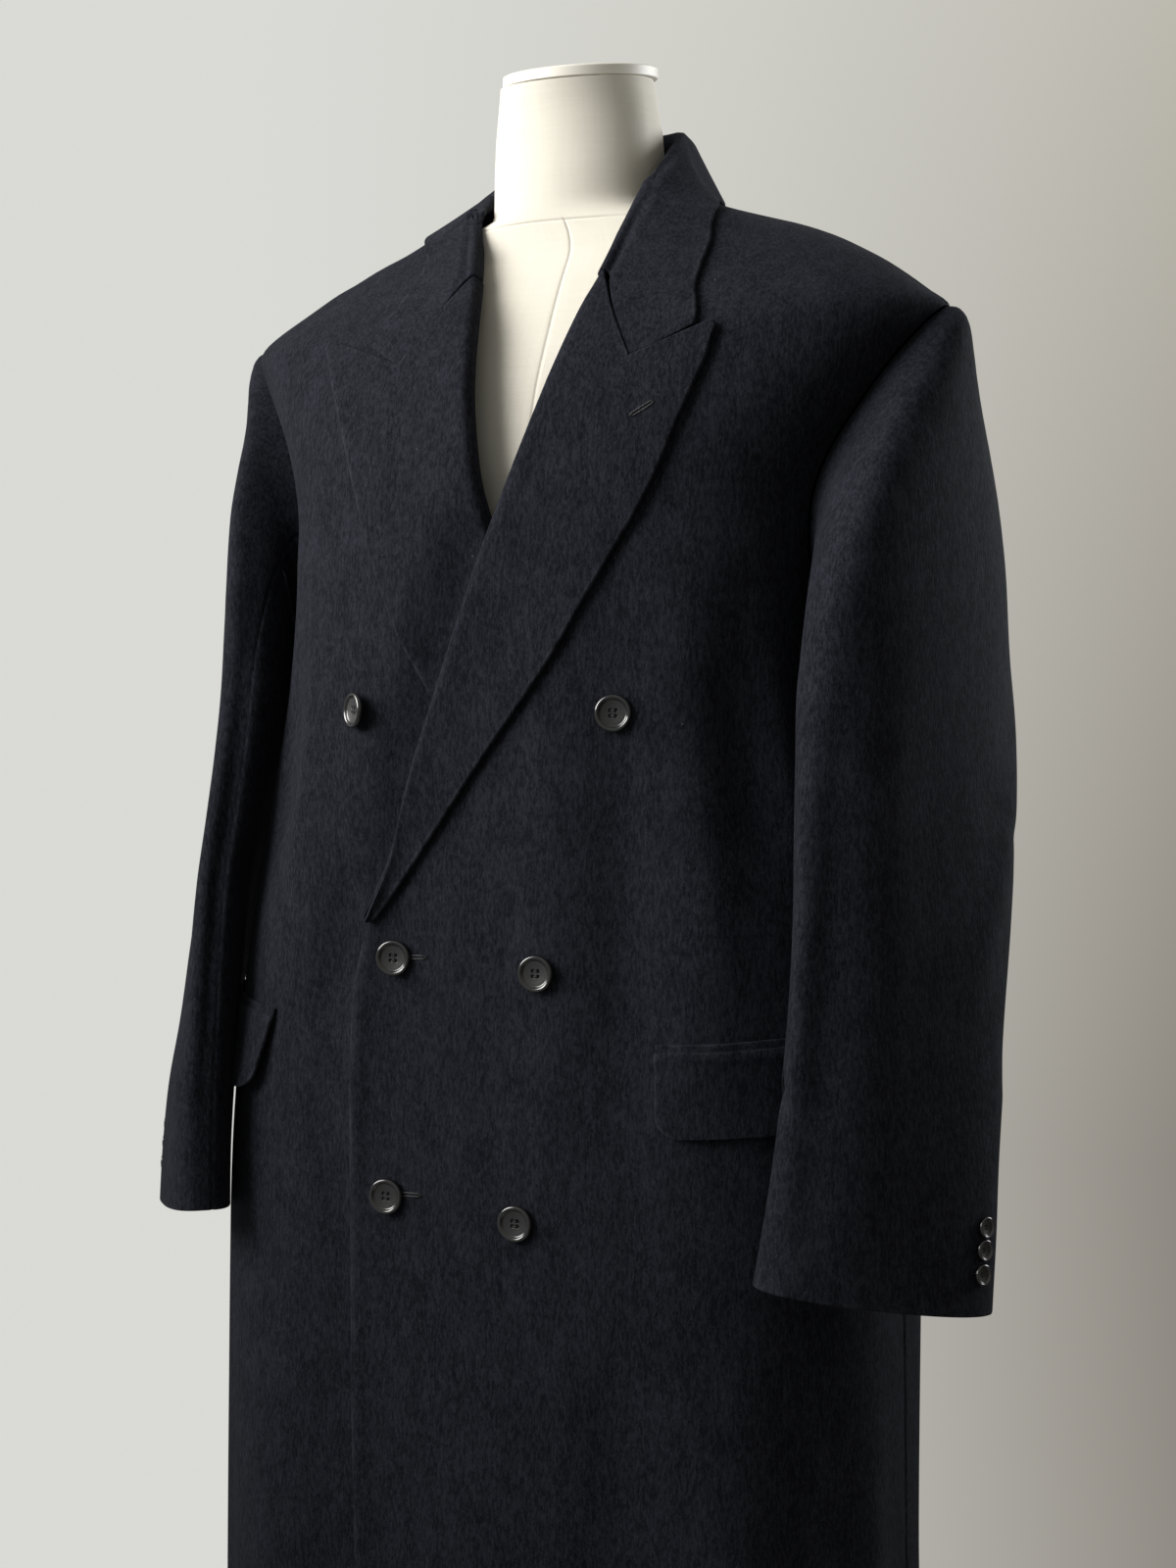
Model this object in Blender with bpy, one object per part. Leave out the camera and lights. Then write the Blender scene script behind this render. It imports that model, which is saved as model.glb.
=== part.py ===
"""A double-breasted wool overcoat worn by a limbless dress form.

The wearer faces -Y and the wearer's left is +X.  The coat's body is one smooth
surface around the form, worked out from a short table of level sections.  Each
cloth piece is a stretch of that surface, or a sheet laid on it, with its real
thickness, and neighbouring pieces stop a seam's width apart.
"""

import math

import bmesh
import bpy
import numpy as np

# Cloth, metres
CLOTH = 0.0025
LEAF = 0.0036
SEAM = 0.0003
LAP_GAP = 0.0020

# Level sections of the coat's outer surface.
BODY_COLUMNS = ("height", "centre", "half_width", "front", "back", "squareness")
BODY = (
    (0.285, -0.010, 0.270, 0.166, 0.172, 2.5),
    (0.530, -0.009, 0.265, 0.161, 0.165, 2.6),
    (0.790, -0.007, 0.261, 0.157, 0.155, 2.7),
    (0.970, -0.002, 0.252, 0.152, 0.146, 2.8),
    (1.045, 0.000, 0.239, 0.150, 0.141, 2.8),
    (1.120, 0.001, 0.224, 0.149, 0.138, 2.8),
    (1.190, 0.002, 0.212, 0.147, 0.138, 2.8),
    (1.275, 0.004, 0.207, 0.144, 0.140, 2.8),
    (1.315, 0.004, 0.209, 0.140, 0.139, 2.7),
    (1.345, 0.005, 0.216, 0.136, 0.137, 2.7),
    (1.391, 0.007, 0.239, 0.126, 0.131, 2.6),
    (1.415, 0.007, 0.253, 0.117, 0.125, 2.5),
    (1.435, 0.008, 0.266, 0.107, 0.119, 2.4),
    (1.448, 0.008, 0.275, 0.099, 0.115, 2.4),
    (1.462, 0.008, 0.258, 0.088, 0.111, 2.3),
    (1.480, 0.008, 0.233, 0.073, 0.106, 2.2),
    (1.492, 0.007, 0.213, 0.063, 0.102, 2.2),
    (1.501, 0.006, 0.196, 0.056, 0.099, 2.1),
    (1.509, 0.004, 0.177, 0.052, 0.097, 2.1),
    (1.517, 0.003, 0.150, 0.050, 0.095, 2.0),
    (1.527, 0.001, 0.118, 0.048, 0.093, 2.0),
    (1.540, 0.000, 0.090, 0.046, 0.090, 2.0),
)
# The right shoulder hangs a little lower than the left.
SHOULDER_DROP = 0.006
SHOULDER_DROP_FROM = 1.450
SHOULDER_DROP_FULL = 1.515
HEM_HEIGHT = 0.285
NECK_HEIGHT = 1.535

# Long soft folds: where round the body (0 centre front, 1 wearer's left side,
# 2 centre back, -1 right side), how wide, how deep, and between which heights.
# Columns: around, width, depth, low, high.
FOLDS = (
    (-0.62, 0.085, -0.006, 0.285, 0.880),
    (-0.36, 0.075, 0.006, 0.285, 0.820),
    (0.06, 0.070, 0.005, 0.285, 0.780),
    (0.27, 0.065, -0.007, 0.285, 0.860),
    (0.47, 0.070, 0.006, 0.285, 0.840),
    (0.62, 0.055, -0.006, 0.285, 0.860),
    (0.80, 0.070, 0.006, 0.285, 0.780),
    (1.22, 0.080, -0.007, 0.285, 0.860),
    (1.46, 0.080, 0.006, 0.285, 0.900),
    (1.72, 0.080, -0.006, 0.285, 0.840),
    (-1.24, 0.080, 0.006, 0.285, 0.860),
    (-1.50, 0.080, -0.007, 0.285, 0.900),
    (-1.76, 0.080, 0.006, 0.285, 0.820),
    (0.56, 0.070, -0.007, 1.020, 1.290),
    (-0.54, 0.070, -0.006, 1.000, 1.280),
    (-0.20, 0.060, -0.004, 1.000, 1.160),
)

# Where each front stops, as a sideways place for each height.  Below the break
# it is the front edge, and above it the line along which the lapel rolls.
BREAK_HEIGHT = 1.022
LEFT_EDGE_COLUMNS = ("height", "sideways")
LEFT_EDGE = (
    (0.285, -0.087),
    (0.577, -0.0905),
    (0.720, -0.0940),
    (0.900, -0.0950),
    (0.975, -0.0925),
    (1.022, -0.0830),
    (1.077, -0.0590),
    (1.127, -0.0450),
    (1.207, -0.0170),
    (1.277, 0.0085),
    (1.358, 0.0385),
    (1.396, 0.0510),
    (1.430, 0.0600),
    (1.470, 0.0680),
    (1.500, 0.0700),
    (1.535, 0.0790),
)
RIGHT_EDGE = (
    (0.285, 0.070),
    (0.720, 0.074),
    (0.975, 0.078),
    (1.022, 0.079),
    (1.127, 0.058),
    (1.207, 0.034),
    (1.282, 0.0105),
    (1.307, 0.0035),
    (1.344, -0.0050),
    (1.377, -0.0120),
    (1.410, -0.0180),
    (1.443, -0.0250),
    (1.474, -0.0360),
    (1.500, -0.0480),
    (1.535, -0.0640),
)
LAP_DEPTH = 0.0116
LAP_EASE = 0.050

# Armhole: a loop around the side line, reaching further forward low down.
ARMHOLE_TOP = 1.448
ARMHOLE_LOW = 1.222
ARMHOLE_STEPS = 12
FRONT_REACH = 0.10
FRONT_SCOOP = 0.27
BACK_REACH = 0.12
BACK_SCOOP = 0.14

# Sleeve sections, level with the floor: a flattened tube whose flat runs
# backwards and outwards at the given turn from +X.
SLEEVE_COLUMNS = ("height", "sideways", "forward", "half_length", "half_depth", "turn")
LEFT_SLEEVE = (
    (1.300, 0.2660, 0.004, 0.088, 0.0510, 84.0),
    (1.230, 0.2700, 0.010, 0.095, 0.0450, 80.0),
    (1.160, 0.2720, 0.020, 0.097, 0.0395, 75.0),
    (1.090, 0.2755, 0.035, 0.095, 0.0345, 70.0),
    (1.020, 0.2825, 0.051, 0.091, 0.0290, 64.0),
    (0.950, 0.2880, 0.067, 0.088, 0.0265, 57.0),
    (0.880, 0.2880, 0.083, 0.086, 0.0275, 50.0),
    (0.800, 0.2820, 0.094, 0.087, 0.0310, 42.0),
)
RIGHT_SLEEVE = (
    (1.300, 0.2410, 0.004, 0.088, 0.0400, 84.0),
    (1.230, 0.2500, 0.010, 0.095, 0.0325, 80.0),
    (1.160, 0.2560, 0.020, 0.097, 0.0280, 76.0),
    (1.090, 0.2610, 0.035, 0.095, 0.0265, 72.0),
    (1.020, 0.2670, 0.051, 0.091, 0.0240, 68.0),
    (0.950, 0.2720, 0.067, 0.088, 0.0215, 63.0),
    (0.880, 0.2725, 0.083, 0.086, 0.0215, 58.0),
    (0.800, 0.2690, 0.094, 0.086, 0.0230, 53.0),
)
SLEEVES = (("left", LEFT_SLEEVE), ("right", RIGHT_SLEEVE))
SLEEVE_HEIGHTS = (1.190, 1.140, 1.090, 1.040, 0.990, 0.940, 0.890, 0.845, 0.800)
SLEEVE_SQUARENESS = 2.2
CUFF_SLOPE = 0.160
CROWN_OUT = 0.011
CROWN_RISE = 0.003
CROWN_OUTWARD = (0.96, 0.0, 0.10)
HEAD_SHARES = (0.2, 0.4, 0.6, 0.8)
HEAD_BOW = 0.57
HEAD_BOW_FADE = 0.40
FRONT_SLEEVE_SEAM = 7
BACK_SLEEVE_SEAM = 19

# Lapels and collar, as (sideways, height) places on the fronts.
LEFT_GORGE = (0.0680, 1.470)
LEFT_NOTCH = (0.1045, 1.410)
LEFT_PEAK = (0.1580, 1.4345)
LEFT_CORNER = (0.1455, 1.4330)
LEFT_LAPEL = (
    (0.1540, 1.410),
    (0.1390, 1.367),
    (0.1215, 1.322),
    (0.0835, 1.253),
    (0.0560, 1.207),
    (0.0125, 1.149),
    (-0.0440, 1.072),
)
RIGHT_GORGE = (-0.0360, 1.474)
RIGHT_NOTCH = (-0.0735, 1.413)
RIGHT_PEAK = (-0.1430, 1.4380)
RIGHT_CORNER = (-0.1060, 1.4345)
RIGHT_LAPEL = (
    (-0.1330, 1.408),
    (-0.1200, 1.380),
    (-0.1095, 1.355),
    (-0.0955, 1.318),
    (-0.0740, 1.266),
    (-0.0310, 1.179),
    (0.0220, 1.098),
)
LAPEL_LIFT = 0.0014
LAPEL_SEAM = 0.0008
LEFT_PUFF = 0.0040
RIGHT_PUFF = 0.0024
LAPEL_ROWS = 16
LAPEL_SHARES = (0.05, 0.16, 0.32, 0.70, 0.85, 1.0)
LAPEL_START = 0.02
PUFF_FADE = 2.5
TOP_EDGE_FADE = 5
BODY_DEPTH = 0.10

# How a lapel turns round its front's edge, from its inner side and its outer:
# past the edge, up off the cloth, and a share of the crest's height to add.
TURN_INSIDE = ((0.0, -CLOTH, 0.0), (0.0, 0.0006, 0.0), (-0.0021, 0.0, 0.75))
TURN_OUTSIDE = ((LEAF, -CLOTH, 0.0), (LEAF, 0.0014, 0.0), (-0.0002, LEAF, 0.85))

# The collar's roll, from the neck point round to the centre back: how far along
# from the gorge, and the place of its crest.
ROLL_COLUMNS = ("along", "sideways", "forward", "height")
LEFT_ROLL = (
    (0.30, 0.0760, 0.0260, 1.5440),
    (0.45, 0.0765, -0.0040, 1.5620),
    (0.60, 0.0705, -0.0320, 1.5690),
    (0.80, 0.0445, -0.0740, 1.5780),
    (1.00, 0.0000, -0.0930, 1.5820),
)
RIGHT_ROLL = (
    (0.30, 0.0600, 0.0310, 1.5450),
    (0.45, 0.0695, -0.0040, 1.5530),
    (0.60, 0.0690, -0.0320, 1.5640),
    (0.80, 0.0440, -0.0740, 1.5770),
    (1.00, 0.0000, -0.0930, 1.5820),
)
# The fall's outer edge on the coat, as a place round the body and a height.
FALL_COLUMNS = ("along", "around", "height")
LEFT_FALL = (
    (0.14, 0.340, 1.4720),
    (0.30, 0.470, 1.5080),
    (0.45, 0.760, 1.5295),
    (0.60, 1.140, 1.5305),
    (0.80, 1.600, 1.5180),
    (1.00, 2.000, 1.5130),
)
RIGHT_FALL = (
    (0.14, 0.245, 1.4740),
    (0.30, 0.400, 1.5100),
    (0.45, 0.720, 1.5280),
    (0.60, 1.140, 1.5290),
    (0.80, 1.600, 1.5180),
    (1.00, 2.000, 1.5130),
)
NECK_POINT = 0.30
COLLAR_CLOTH = 0.0032
COLLAR_LIFT = 0.0040
COLLAR_TURN = 0.0032
GORGE_LIFT = 0.0085
ROLL_START = 0.04
COLLAR_STEPS = (0.0, 0.05, 0.10, 0.16, 0.23, 0.30, 0.38, 0.46, 0.54, 0.62, 0.71, 0.80, 0.90, 1.0)
FALL_SHARES = (0.14, 0.30, 0.46, 0.80, 1.0)
FALL_FADE = 1.1
NOTCH_FADE = 12
COLLAR_START = (0.0012, 0.0025)
COLLAR_SEAM = (0.0009, 0.0006)
COLLAR_GAP = 0.0012
NECK_MIDDLE = (0.0, 0.02, 1.62)

# Pockets
LEFT_POCKET = 0.137
RIGHT_POCKET = -0.175
FLAP_LENGTH = 0.143
FLAP_DROP = 0.056
FLAP_TOP = 0.9535
FLAP_RISE = 0.06
FLAP_CORNER = 0.016
FLAP_CLOTH = 0.0032
FLAP_SEAM = 0.0005
FLAP_MARGIN = 0.004
FLAP_ROWS = 6
FLAP_CURL = 1.4
FLAP_CALM = 0.8
LEFT_FLAP_STAND = 0.0016
RIGHT_FLAP_STAND = 0.0050
WELT_HEIGHT = 0.0060
WELT_THICKNESS = 0.0022

# Buttons, (sideways, height) on the coat
BUTTON_RADIUS = 0.0116
BUTTON_THICKNESS = 0.0040
BUTTON_LIFT = 0.0005
BUTTON_SIDES = 16
# A button's section from back to front, as shares of its radius and thickness.
BUTTON_PROFILE = ((0.86, 0.00), (1.00, 0.45), (0.93, 0.95), (0.82, 1.00), (0.66, 0.60))
FRONT_BUTTONS = (
    ("button_top_left", 0.1035, 1.177),
    ("button_top_right", -0.0935, 1.176),
    ("button_middle_left", 0.0550, 1.003),
    ("button_middle_right", -0.0590, 1.006),
    ("button_bottom_left", 0.0400, 0.833),
    ("button_bottom_right", -0.0630, 0.840),
)
CUFF_BUTTON_RADIUS = 0.0070
CUFF_BUTTON_THICKNESS = 0.0032
CUFF_BUTTON_SIDES = 12
CUFF_BUTTON_HEIGHTS = (0.825, 0.840, 0.854)
CUFF_BUTTON_STEP = 22.0

# Dress form
# Columns: height, half_width, front, back, squareness.
FORM = (
    (0.760, 0.150, 0.104, 0.112, 2.3),
    (0.790, 0.168, 0.114, 0.122, 2.3),
    (0.870, 0.177, 0.117, 0.127, 2.3),
    (0.960, 0.165, 0.110, 0.115, 2.3),
    (1.060, 0.141, 0.101, 0.102, 2.2),
    (1.160, 0.152, 0.112, 0.108, 2.2),
    (1.260, 0.166, 0.119, 0.116, 2.3),
    (1.330, 0.171, 0.115, 0.118, 2.4),
    (1.390, 0.182, 0.103, 0.113, 2.4),
    (1.440, 0.190, 0.083, 0.103, 2.4),
    (1.480, 0.189, 0.062, 0.096, 2.2),
    (1.4980, 0.179, 0.0500, 0.0920, 2.1),
    (1.5060, 0.169, 0.0480, 0.0900, 2.1),
    (1.5132, 0.148, 0.0465, 0.0880, 2.0),
    (1.5215, 0.114, 0.0455, 0.0850, 2.0),
    (1.5280, 0.072, 0.0445, 0.0825, 2.0),
    (1.5380, 0.0615, 0.0440, 0.0820, 2.0),
    (1.5580, 0.0612, 0.0430, 0.0820, 2.0),
    (1.5770, 0.0606, 0.0420, 0.0805, 2.0),
    (1.6000, 0.0585, 0.0425, 0.0760, 2.0),
    (1.6250, 0.0550, 0.0455, 0.0650, 2.0),
)
NECK_ROOT = (1.528, 1.560)
NECK_TILT = 0.13
NECK_TILT_FROM = 1.560
CAP_RADIUS = 0.0560
CAP_THICKNESS = 0.0085
NECK_CENTRE = 0.0098
CAP_PROFILE = ((0.96, 0.0), (1.0, 0.12), (1.0, 0.85), (0.97, 1.0))
FORM_SIDES = 24
POLE_RADIUS = 0.014
POLE_START = 1.55
FOOT_RADIUS = 0.200
FOOT_THICKNESS = 0.016
FOOT_PROFILE = ((0.985, 0.0), (1.0, 0.2), (1.0, 0.7), (0.95, 1.0), (0.10, 1.35))

# Resolution
SKIRT_ROWS = 7
WAIST_ROWS = 7
FRONT_COLUMNS = 13
BACK_COLUMNS = 11
SHOULDER_HEIGHTS = (1.455, 1.464, 1.474, 1.484, 1.494, 1.503, 1.511, 1.519, 1.527, 1.535)


def smooth(value, places, heights):
    """Monotone cubic curve through (places, heights), read at value."""
    xs = np.asarray(places, float)
    ys = np.asarray(heights, float)
    step = np.diff(xs)
    slope = np.diff(ys) / step
    tangent = np.zeros_like(ys)
    same = slope[1:] * slope[:-1] > 0
    before = 2 * step[1:] + step[:-1]
    after = step[1:] + 2 * step[:-1]
    safe_left = np.where(same, slope[:-1], 1.0)
    safe_right = np.where(same, slope[1:], 1.0)
    mean = (before + after) / (before / safe_left + after / safe_right)
    tangent[1:-1] = np.where(same, mean, 0.0)
    tangent[0] = slope[0]
    tangent[-1] = slope[-1]
    x = np.clip(value, xs[0], xs[-1])
    i = np.clip(np.searchsorted(xs, x) - 1, 0, len(step) - 1)
    t = (x - xs[i]) / step[i]
    rise = t * t * (3 - 2 * t)
    start = t * (1 - t) ** 2 * step[i] * tangent[i]
    end = t * t * (t - 1) * step[i] * tangent[i + 1]
    return ys[i] * (1 - rise) + ys[i + 1] * rise + start + end


def column(table, columns, name, value):
    """One named column of a table, read smoothly at the first column's value."""
    rows = np.array(table, float)
    return smooth(value, rows[:, 0], rows[:, columns.index(name)])


def ease(value, low, high):
    """0 below low, 1 above high, with a soft start and end."""
    t = np.clip((value - low) / (high - low), 0.0, 1.0)
    return t * t * (3 - 2 * t)


def fold_depth(around, height):
    """Outward push of all the long folds at a place on the body."""
    total = np.zeros(np.broadcast(around, height).shape)
    for place, width, depth, low, high in FOLDS:
        away = (around - place + 2.0) % 4.0 - 2.0
        bell = np.exp(-((away / width) ** 2))
        fade_up = 1.0 - ease(height, low + 0.5 * (high - low), high)
        fade_down = 1.0 if low <= HEM_HEIGHT else ease(height, low, low + 0.4 * (high - low))
        total = total + depth * bell * fade_up * fade_down
    return total


def shoulder_drop(around, height):
    """How much lower the right shoulder hangs at a place on the body."""
    rightward = np.clip(-np.sin(around * math.pi / 2), 0.0, 1.0) ** 2
    return SHOULDER_DROP * rightward * ease(height, SHOULDER_DROP_FROM, SHOULDER_DROP_FULL)


def level_section(around, width, front, back, squareness):
    """A rounded rectangle: an ellipse pushed out to the given squareness."""
    turn = around * math.pi / 2
    depth = np.where(np.cos(turn) > 0, front, back)
    across = np.abs(np.sin(turn)) ** squareness + np.abs(np.cos(turn)) ** squareness
    push = across ** (-1.0 / squareness)
    return width * np.sin(turn) * push, -depth * np.cos(turn) * push


def body(around, height):
    """Point on the coat's outer surface: around is 0 in front, 1 at the left side."""
    around, height = np.broadcast_arrays(np.asarray(around, float), np.asarray(height, float))
    width, front, back, squareness, centre = (
        column(BODY, BODY_COLUMNS, name, height)
        for name in ("half_width", "front", "back", "squareness", "centre")
    )
    fold = fold_depth(around, height)
    side, ahead = level_section(around, width + fold, front + fold, back + fold, squareness)
    level = height - shoulder_drop(around, height)
    return np.stack([side + centre, ahead, level], axis=-1)


def body_normal(around, height):
    """Outward unit normal of the coat's surface, from small steps each way."""
    around, height = np.broadcast_arrays(np.asarray(around, float), np.asarray(height, float))
    step = 0.002
    low = np.clip(height - step, BODY[0][0], None)
    high = np.clip(height + step, None, BODY[-1][0])
    sideways = body(around + step, height) - body(around - step, height)
    upward = body(around, high) - body(around, low)
    return unit(np.cross(sideways, upward))


def unit(vectors):
    """Vectors scaled to length one."""
    length = np.linalg.norm(vectors, axis=-1, keepdims=True)
    return vectors / np.maximum(length, 1e-12)


def around_at(sideways, height):
    """The place around the front whose sideways coordinate is the given one."""
    sideways, height = np.broadcast_arrays(
        np.asarray(sideways, float), np.asarray(height, float)
    )
    low = np.full(sideways.shape, -1.0)
    high = np.full(sideways.shape, 1.0)
    for _ in range(40):
        middle = (low + high) / 2
        below = body(middle, height)[..., 0] < sideways
        low = np.where(below, middle, low)
        high = np.where(below, high, middle)
    return (low + high) / 2


def seam_share(height, distance):
    """How much of a turn around the side line covers a distance."""
    speed = np.linalg.norm(body(1.001, height) - body(0.999, height), axis=-1) / 0.002
    return distance / speed


def edge_side(table, height):
    """Sideways place of a front's edge or roll line at a height."""
    return column(table, LEFT_EDGE_COLUMNS, "sideways", height)


def lap_sink(around, height):
    """How far the right front's layers sink to pass under the left front."""
    sideways = body(around, height)[..., 0]
    past = sideways - edge_side(LEFT_EDGE, height)
    under = ease(past, -LAP_EASE - 0.006, -0.006)
    shallow = CLOTH + LAP_GAP
    depth = shallow + (LAP_DEPTH - shallow) * ease(height, BREAK_HEIGHT - 0.10, BREAK_HEIGHT)
    crossing = 1.0 - ease(height, 1.285, 1.345)
    return under * depth * crossing


def left_layer(around, height, lift):
    """A point lifted off the left front's outer surface, or off the back's."""
    lift = np.asarray(lift, float)[..., None]
    return body(around, height) + body_normal(around, height) * lift


def right_layer(around, height, lift):
    """A point lifted off the right front's outer surface, which dips under the left."""
    return left_layer(around, height, np.asarray(lift) - lap_sink(around, height))


def grid_faces(rows, columns, first, reverse=False, wrap=False):
    """Quads of a grid whose points are numbered row by row from first."""
    faces = []
    last = columns if wrap else columns - 1
    for i in range(rows - 1):
        for j in range(last):
            a = first + i * columns + j
            b = first + i * columns + (j + 1) % columns
            quad = (a, b, b + columns, a + columns)
            faces.append(quad[::-1] if reverse else quad)
    return faces


def wall_mesh(name, outer, inner):
    """A closed sheet between two grids of points of the same shape."""
    rows, columns = outer.shape[:2]
    count = rows * columns
    points = np.concatenate([outer.reshape(-1, 3), inner.reshape(-1, 3)])
    faces = grid_faces(rows, columns, 0) + grid_faces(rows, columns, count, reverse=True)
    rim = [j for j in range(columns)]
    rim += [i * columns + columns - 1 for i in range(1, rows)]
    rim += [(rows - 1) * columns + j for j in range(columns - 2, -1, -1)]
    rim += [i * columns for i in range(rows - 2, 0, -1)]
    for here, there in zip(rim, rim[1:] + rim[:1]):
        faces.append((there, here, here + count, there + count))
    return make_mesh(name, points, faces)


def lathe_mesh(name, rings):
    """A closed body through rings of points, with a fan at each end."""
    rings = np.asarray(rings, float)
    rows, columns = rings.shape[:2]
    points = np.concatenate([rings.reshape(-1, 3), rings[[0, -1]].mean(axis=1)])
    faces = grid_faces(rows, columns, 0, wrap=True)
    bottom = rows * columns
    top = bottom + 1
    for j in range(columns):
        k = (j + 1) % columns
        faces.append((bottom, k, j))
        faces.append((top, (rows - 1) * columns + j, (rows - 1) * columns + k))
    return make_mesh(name, points, faces)


def make_mesh(name, points, faces):
    """A mesh whose faces all point outwards."""
    mesh = bpy.data.meshes.new(name)
    mesh.from_pydata(points.tolist(), [], faces)
    work = bmesh.new()
    work.from_mesh(mesh)
    bmesh.ops.recalc_face_normals(work, faces=work.faces)
    if work.calc_volume(signed=True) < 0:
        bmesh.ops.reverse_faces(work, faces=work.faces)
    bmesh.ops.triangulate(work, faces=work.faces)
    work.to_mesh(mesh)
    work.free()
    mesh.shade_smooth()
    mesh.set_sharp_from_angle(angle=math.radians(50))
    return mesh


def make_material(name, colour, roughness, metallic=0.0):
    """A plain Principled material."""
    material = bpy.data.materials.new(name)
    material.use_nodes = True
    shader = material.node_tree.nodes["Principled BSDF"]
    shader.inputs["Base Color"].default_value = (*colour, 1.0)
    shader.inputs["Roughness"].default_value = roughness
    shader.inputs["Metallic"].default_value = metallic
    return material


def place(mesh, material):
    """Adds a mesh to the scene as a named object."""
    mesh.materials.append(material)
    piece = bpy.data.objects.new(mesh.name, mesh)
    bpy.context.scene.collection.objects.link(piece)
    return piece


def armhole(index):
    """The armhole's place at a step round it: 0 on the shoulder, then forwards."""
    turn = np.asarray(index, float) * math.pi / ARMHOLE_STEPS
    middle = (ARMHOLE_TOP + ARMHOLE_LOW) / 2
    half = (ARMHOLE_TOP - ARMHOLE_LOW) / 2
    low_share = (1 - np.cos(turn)) / 2
    forward = FRONT_REACH + FRONT_SCOOP * low_share**1.8
    backward = BACK_REACH + BACK_SCOOP * low_share**1.5
    reach = np.where(np.sin(turn) > 0, forward, backward)
    return 1 - reach * np.sin(turn), middle + half * np.cos(turn)


def panel_heights():
    """Heights of the rows of every body panel, from the hem to the neck."""
    skirt = np.linspace(HEM_HEIGHT, BREAK_HEIGHT, SKIRT_ROWS)
    waist = np.linspace(BREAK_HEIGHT, ARMHOLE_LOW, WAIST_ROWS)[1:-1]
    hole = armhole(np.arange(ARMHOLE_STEPS, -1, -1))[1]
    return np.concatenate([skirt, waist, hole, SHOULDER_HEIGHTS])


def side_limit(heights, backwards):
    """Where a panel stops at the side: its seam, or the armhole's edge."""
    inside = (heights > ARMHOLE_LOW + 1e-6) & (heights < ARMHOLE_TOP - 1e-6)
    middle = (ARMHOLE_TOP + ARMHOLE_LOW) / 2
    half = (ARMHOLE_TOP - ARMHOLE_LOW) / 2
    turn = np.arccos(np.clip((heights - middle) / half, -1, 1))
    index = turn / math.pi * ARMHOLE_STEPS
    hole = armhole(-index if backwards else index)[0]
    shift = seam_share(heights, SEAM / 2)
    seam = 1 + shift if backwards else 1 - shift
    return np.where(inside, hole, seam)


def panel(name, start, end, layer, heights):
    """A body panel whose rows run from start to end around the body."""
    share = np.linspace(0, 1, FRONT_COLUMNS if "front" in name else BACK_COLUMNS)
    around = start[:, None] + (end - start)[:, None] * share
    level = np.broadcast_to(heights[:, None], around.shape)
    outer = layer(around, level, np.zeros(around.shape))
    inner = layer(around, level, np.full(around.shape, -CLOTH))
    return wall_mesh(name, outer, inner)


def build_fronts(material):
    """Left front, which laps over, and right front under it."""
    heights = panel_heights()
    side = side_limit(heights, backwards=False)
    left_edge = around_at(edge_side(LEFT_EDGE, heights), heights)
    right_edge = around_at(edge_side(RIGHT_EDGE, heights), heights)
    place(panel("left_front", left_edge, side, left_layer, heights), material)
    place(panel("right_front", right_edge, -side, right_layer, heights), material)


def build_backs(material):
    """Two back panels that meet at a centre seam."""
    heights = panel_heights()
    side = side_limit(heights, backwards=True)
    centre = 2 - seam_share(heights, SEAM / 2)
    place(panel("left_back", side, centre, left_layer, heights), material)
    place(panel("right_back", -side, -centre, left_layer, heights), material)


def edge_direction(line, normal, towards):
    """Unit direction out past an edge line, in the cloth's plane, on a point's side."""
    away = unit(np.cross(np.gradient(line, axis=0), normal))
    return away * np.sign(((towards - line) * away).sum(axis=-1, keepdims=True))


def kink_share(start, kink, end):
    """How far along a two-part line its kink comes."""
    first = np.linalg.norm(np.subtract(kink, start))
    return first / (first + np.linalg.norm(np.subtract(end, kink)))


def kinked_line(share, corners):
    """(sideways, height) places on a line from gorge over notch to tip."""
    kink = kink_share(*corners)
    columns = [np.interp(share, (0, kink, 1), [corner[k] for corner in corners]) for k in (0, 1)]
    return np.stack(columns, axis=-1)


def lapel_places(edge, outline, corners):
    """(sideways, height) grid of a lapel, from its roll line out to its edge."""
    gorge, notch, peak = corners
    rise = LAPEL_START + (1 - LAPEL_START) * np.linspace(0, 1, LAPEL_ROWS)
    roll_height = BREAK_HEIGHT + (gorge[1] - BREAK_HEIGHT) * rise
    rim_height = BREAK_HEIGHT + (peak[1] - BREAK_HEIGHT) * rise
    start = (edge_side(edge, BREAK_HEIGHT), BREAK_HEIGHT)
    rim_points = np.array([start, *outline[::-1], peak])
    roll = np.stack([edge_side(edge, roll_height), roll_height], axis=-1)
    rim_side = smooth(rim_height, rim_points[:, 1], rim_points[:, 0])
    rim = np.stack([rim_side, rim_height], axis=-1)
    across = np.sort(np.append(LAPEL_SHARES, kink_share(*corners)))
    bend = kinked_line(across, corners) - kinked_line(across, (gorge, np.add(gorge, peak) / 2, peak))
    grid = roll[:, None] + across[None, :, None] * (rim - roll)[:, None]
    return roll, grid + (rise**TOP_EDGE_FADE)[:, None, None] * bend[None], across


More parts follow.
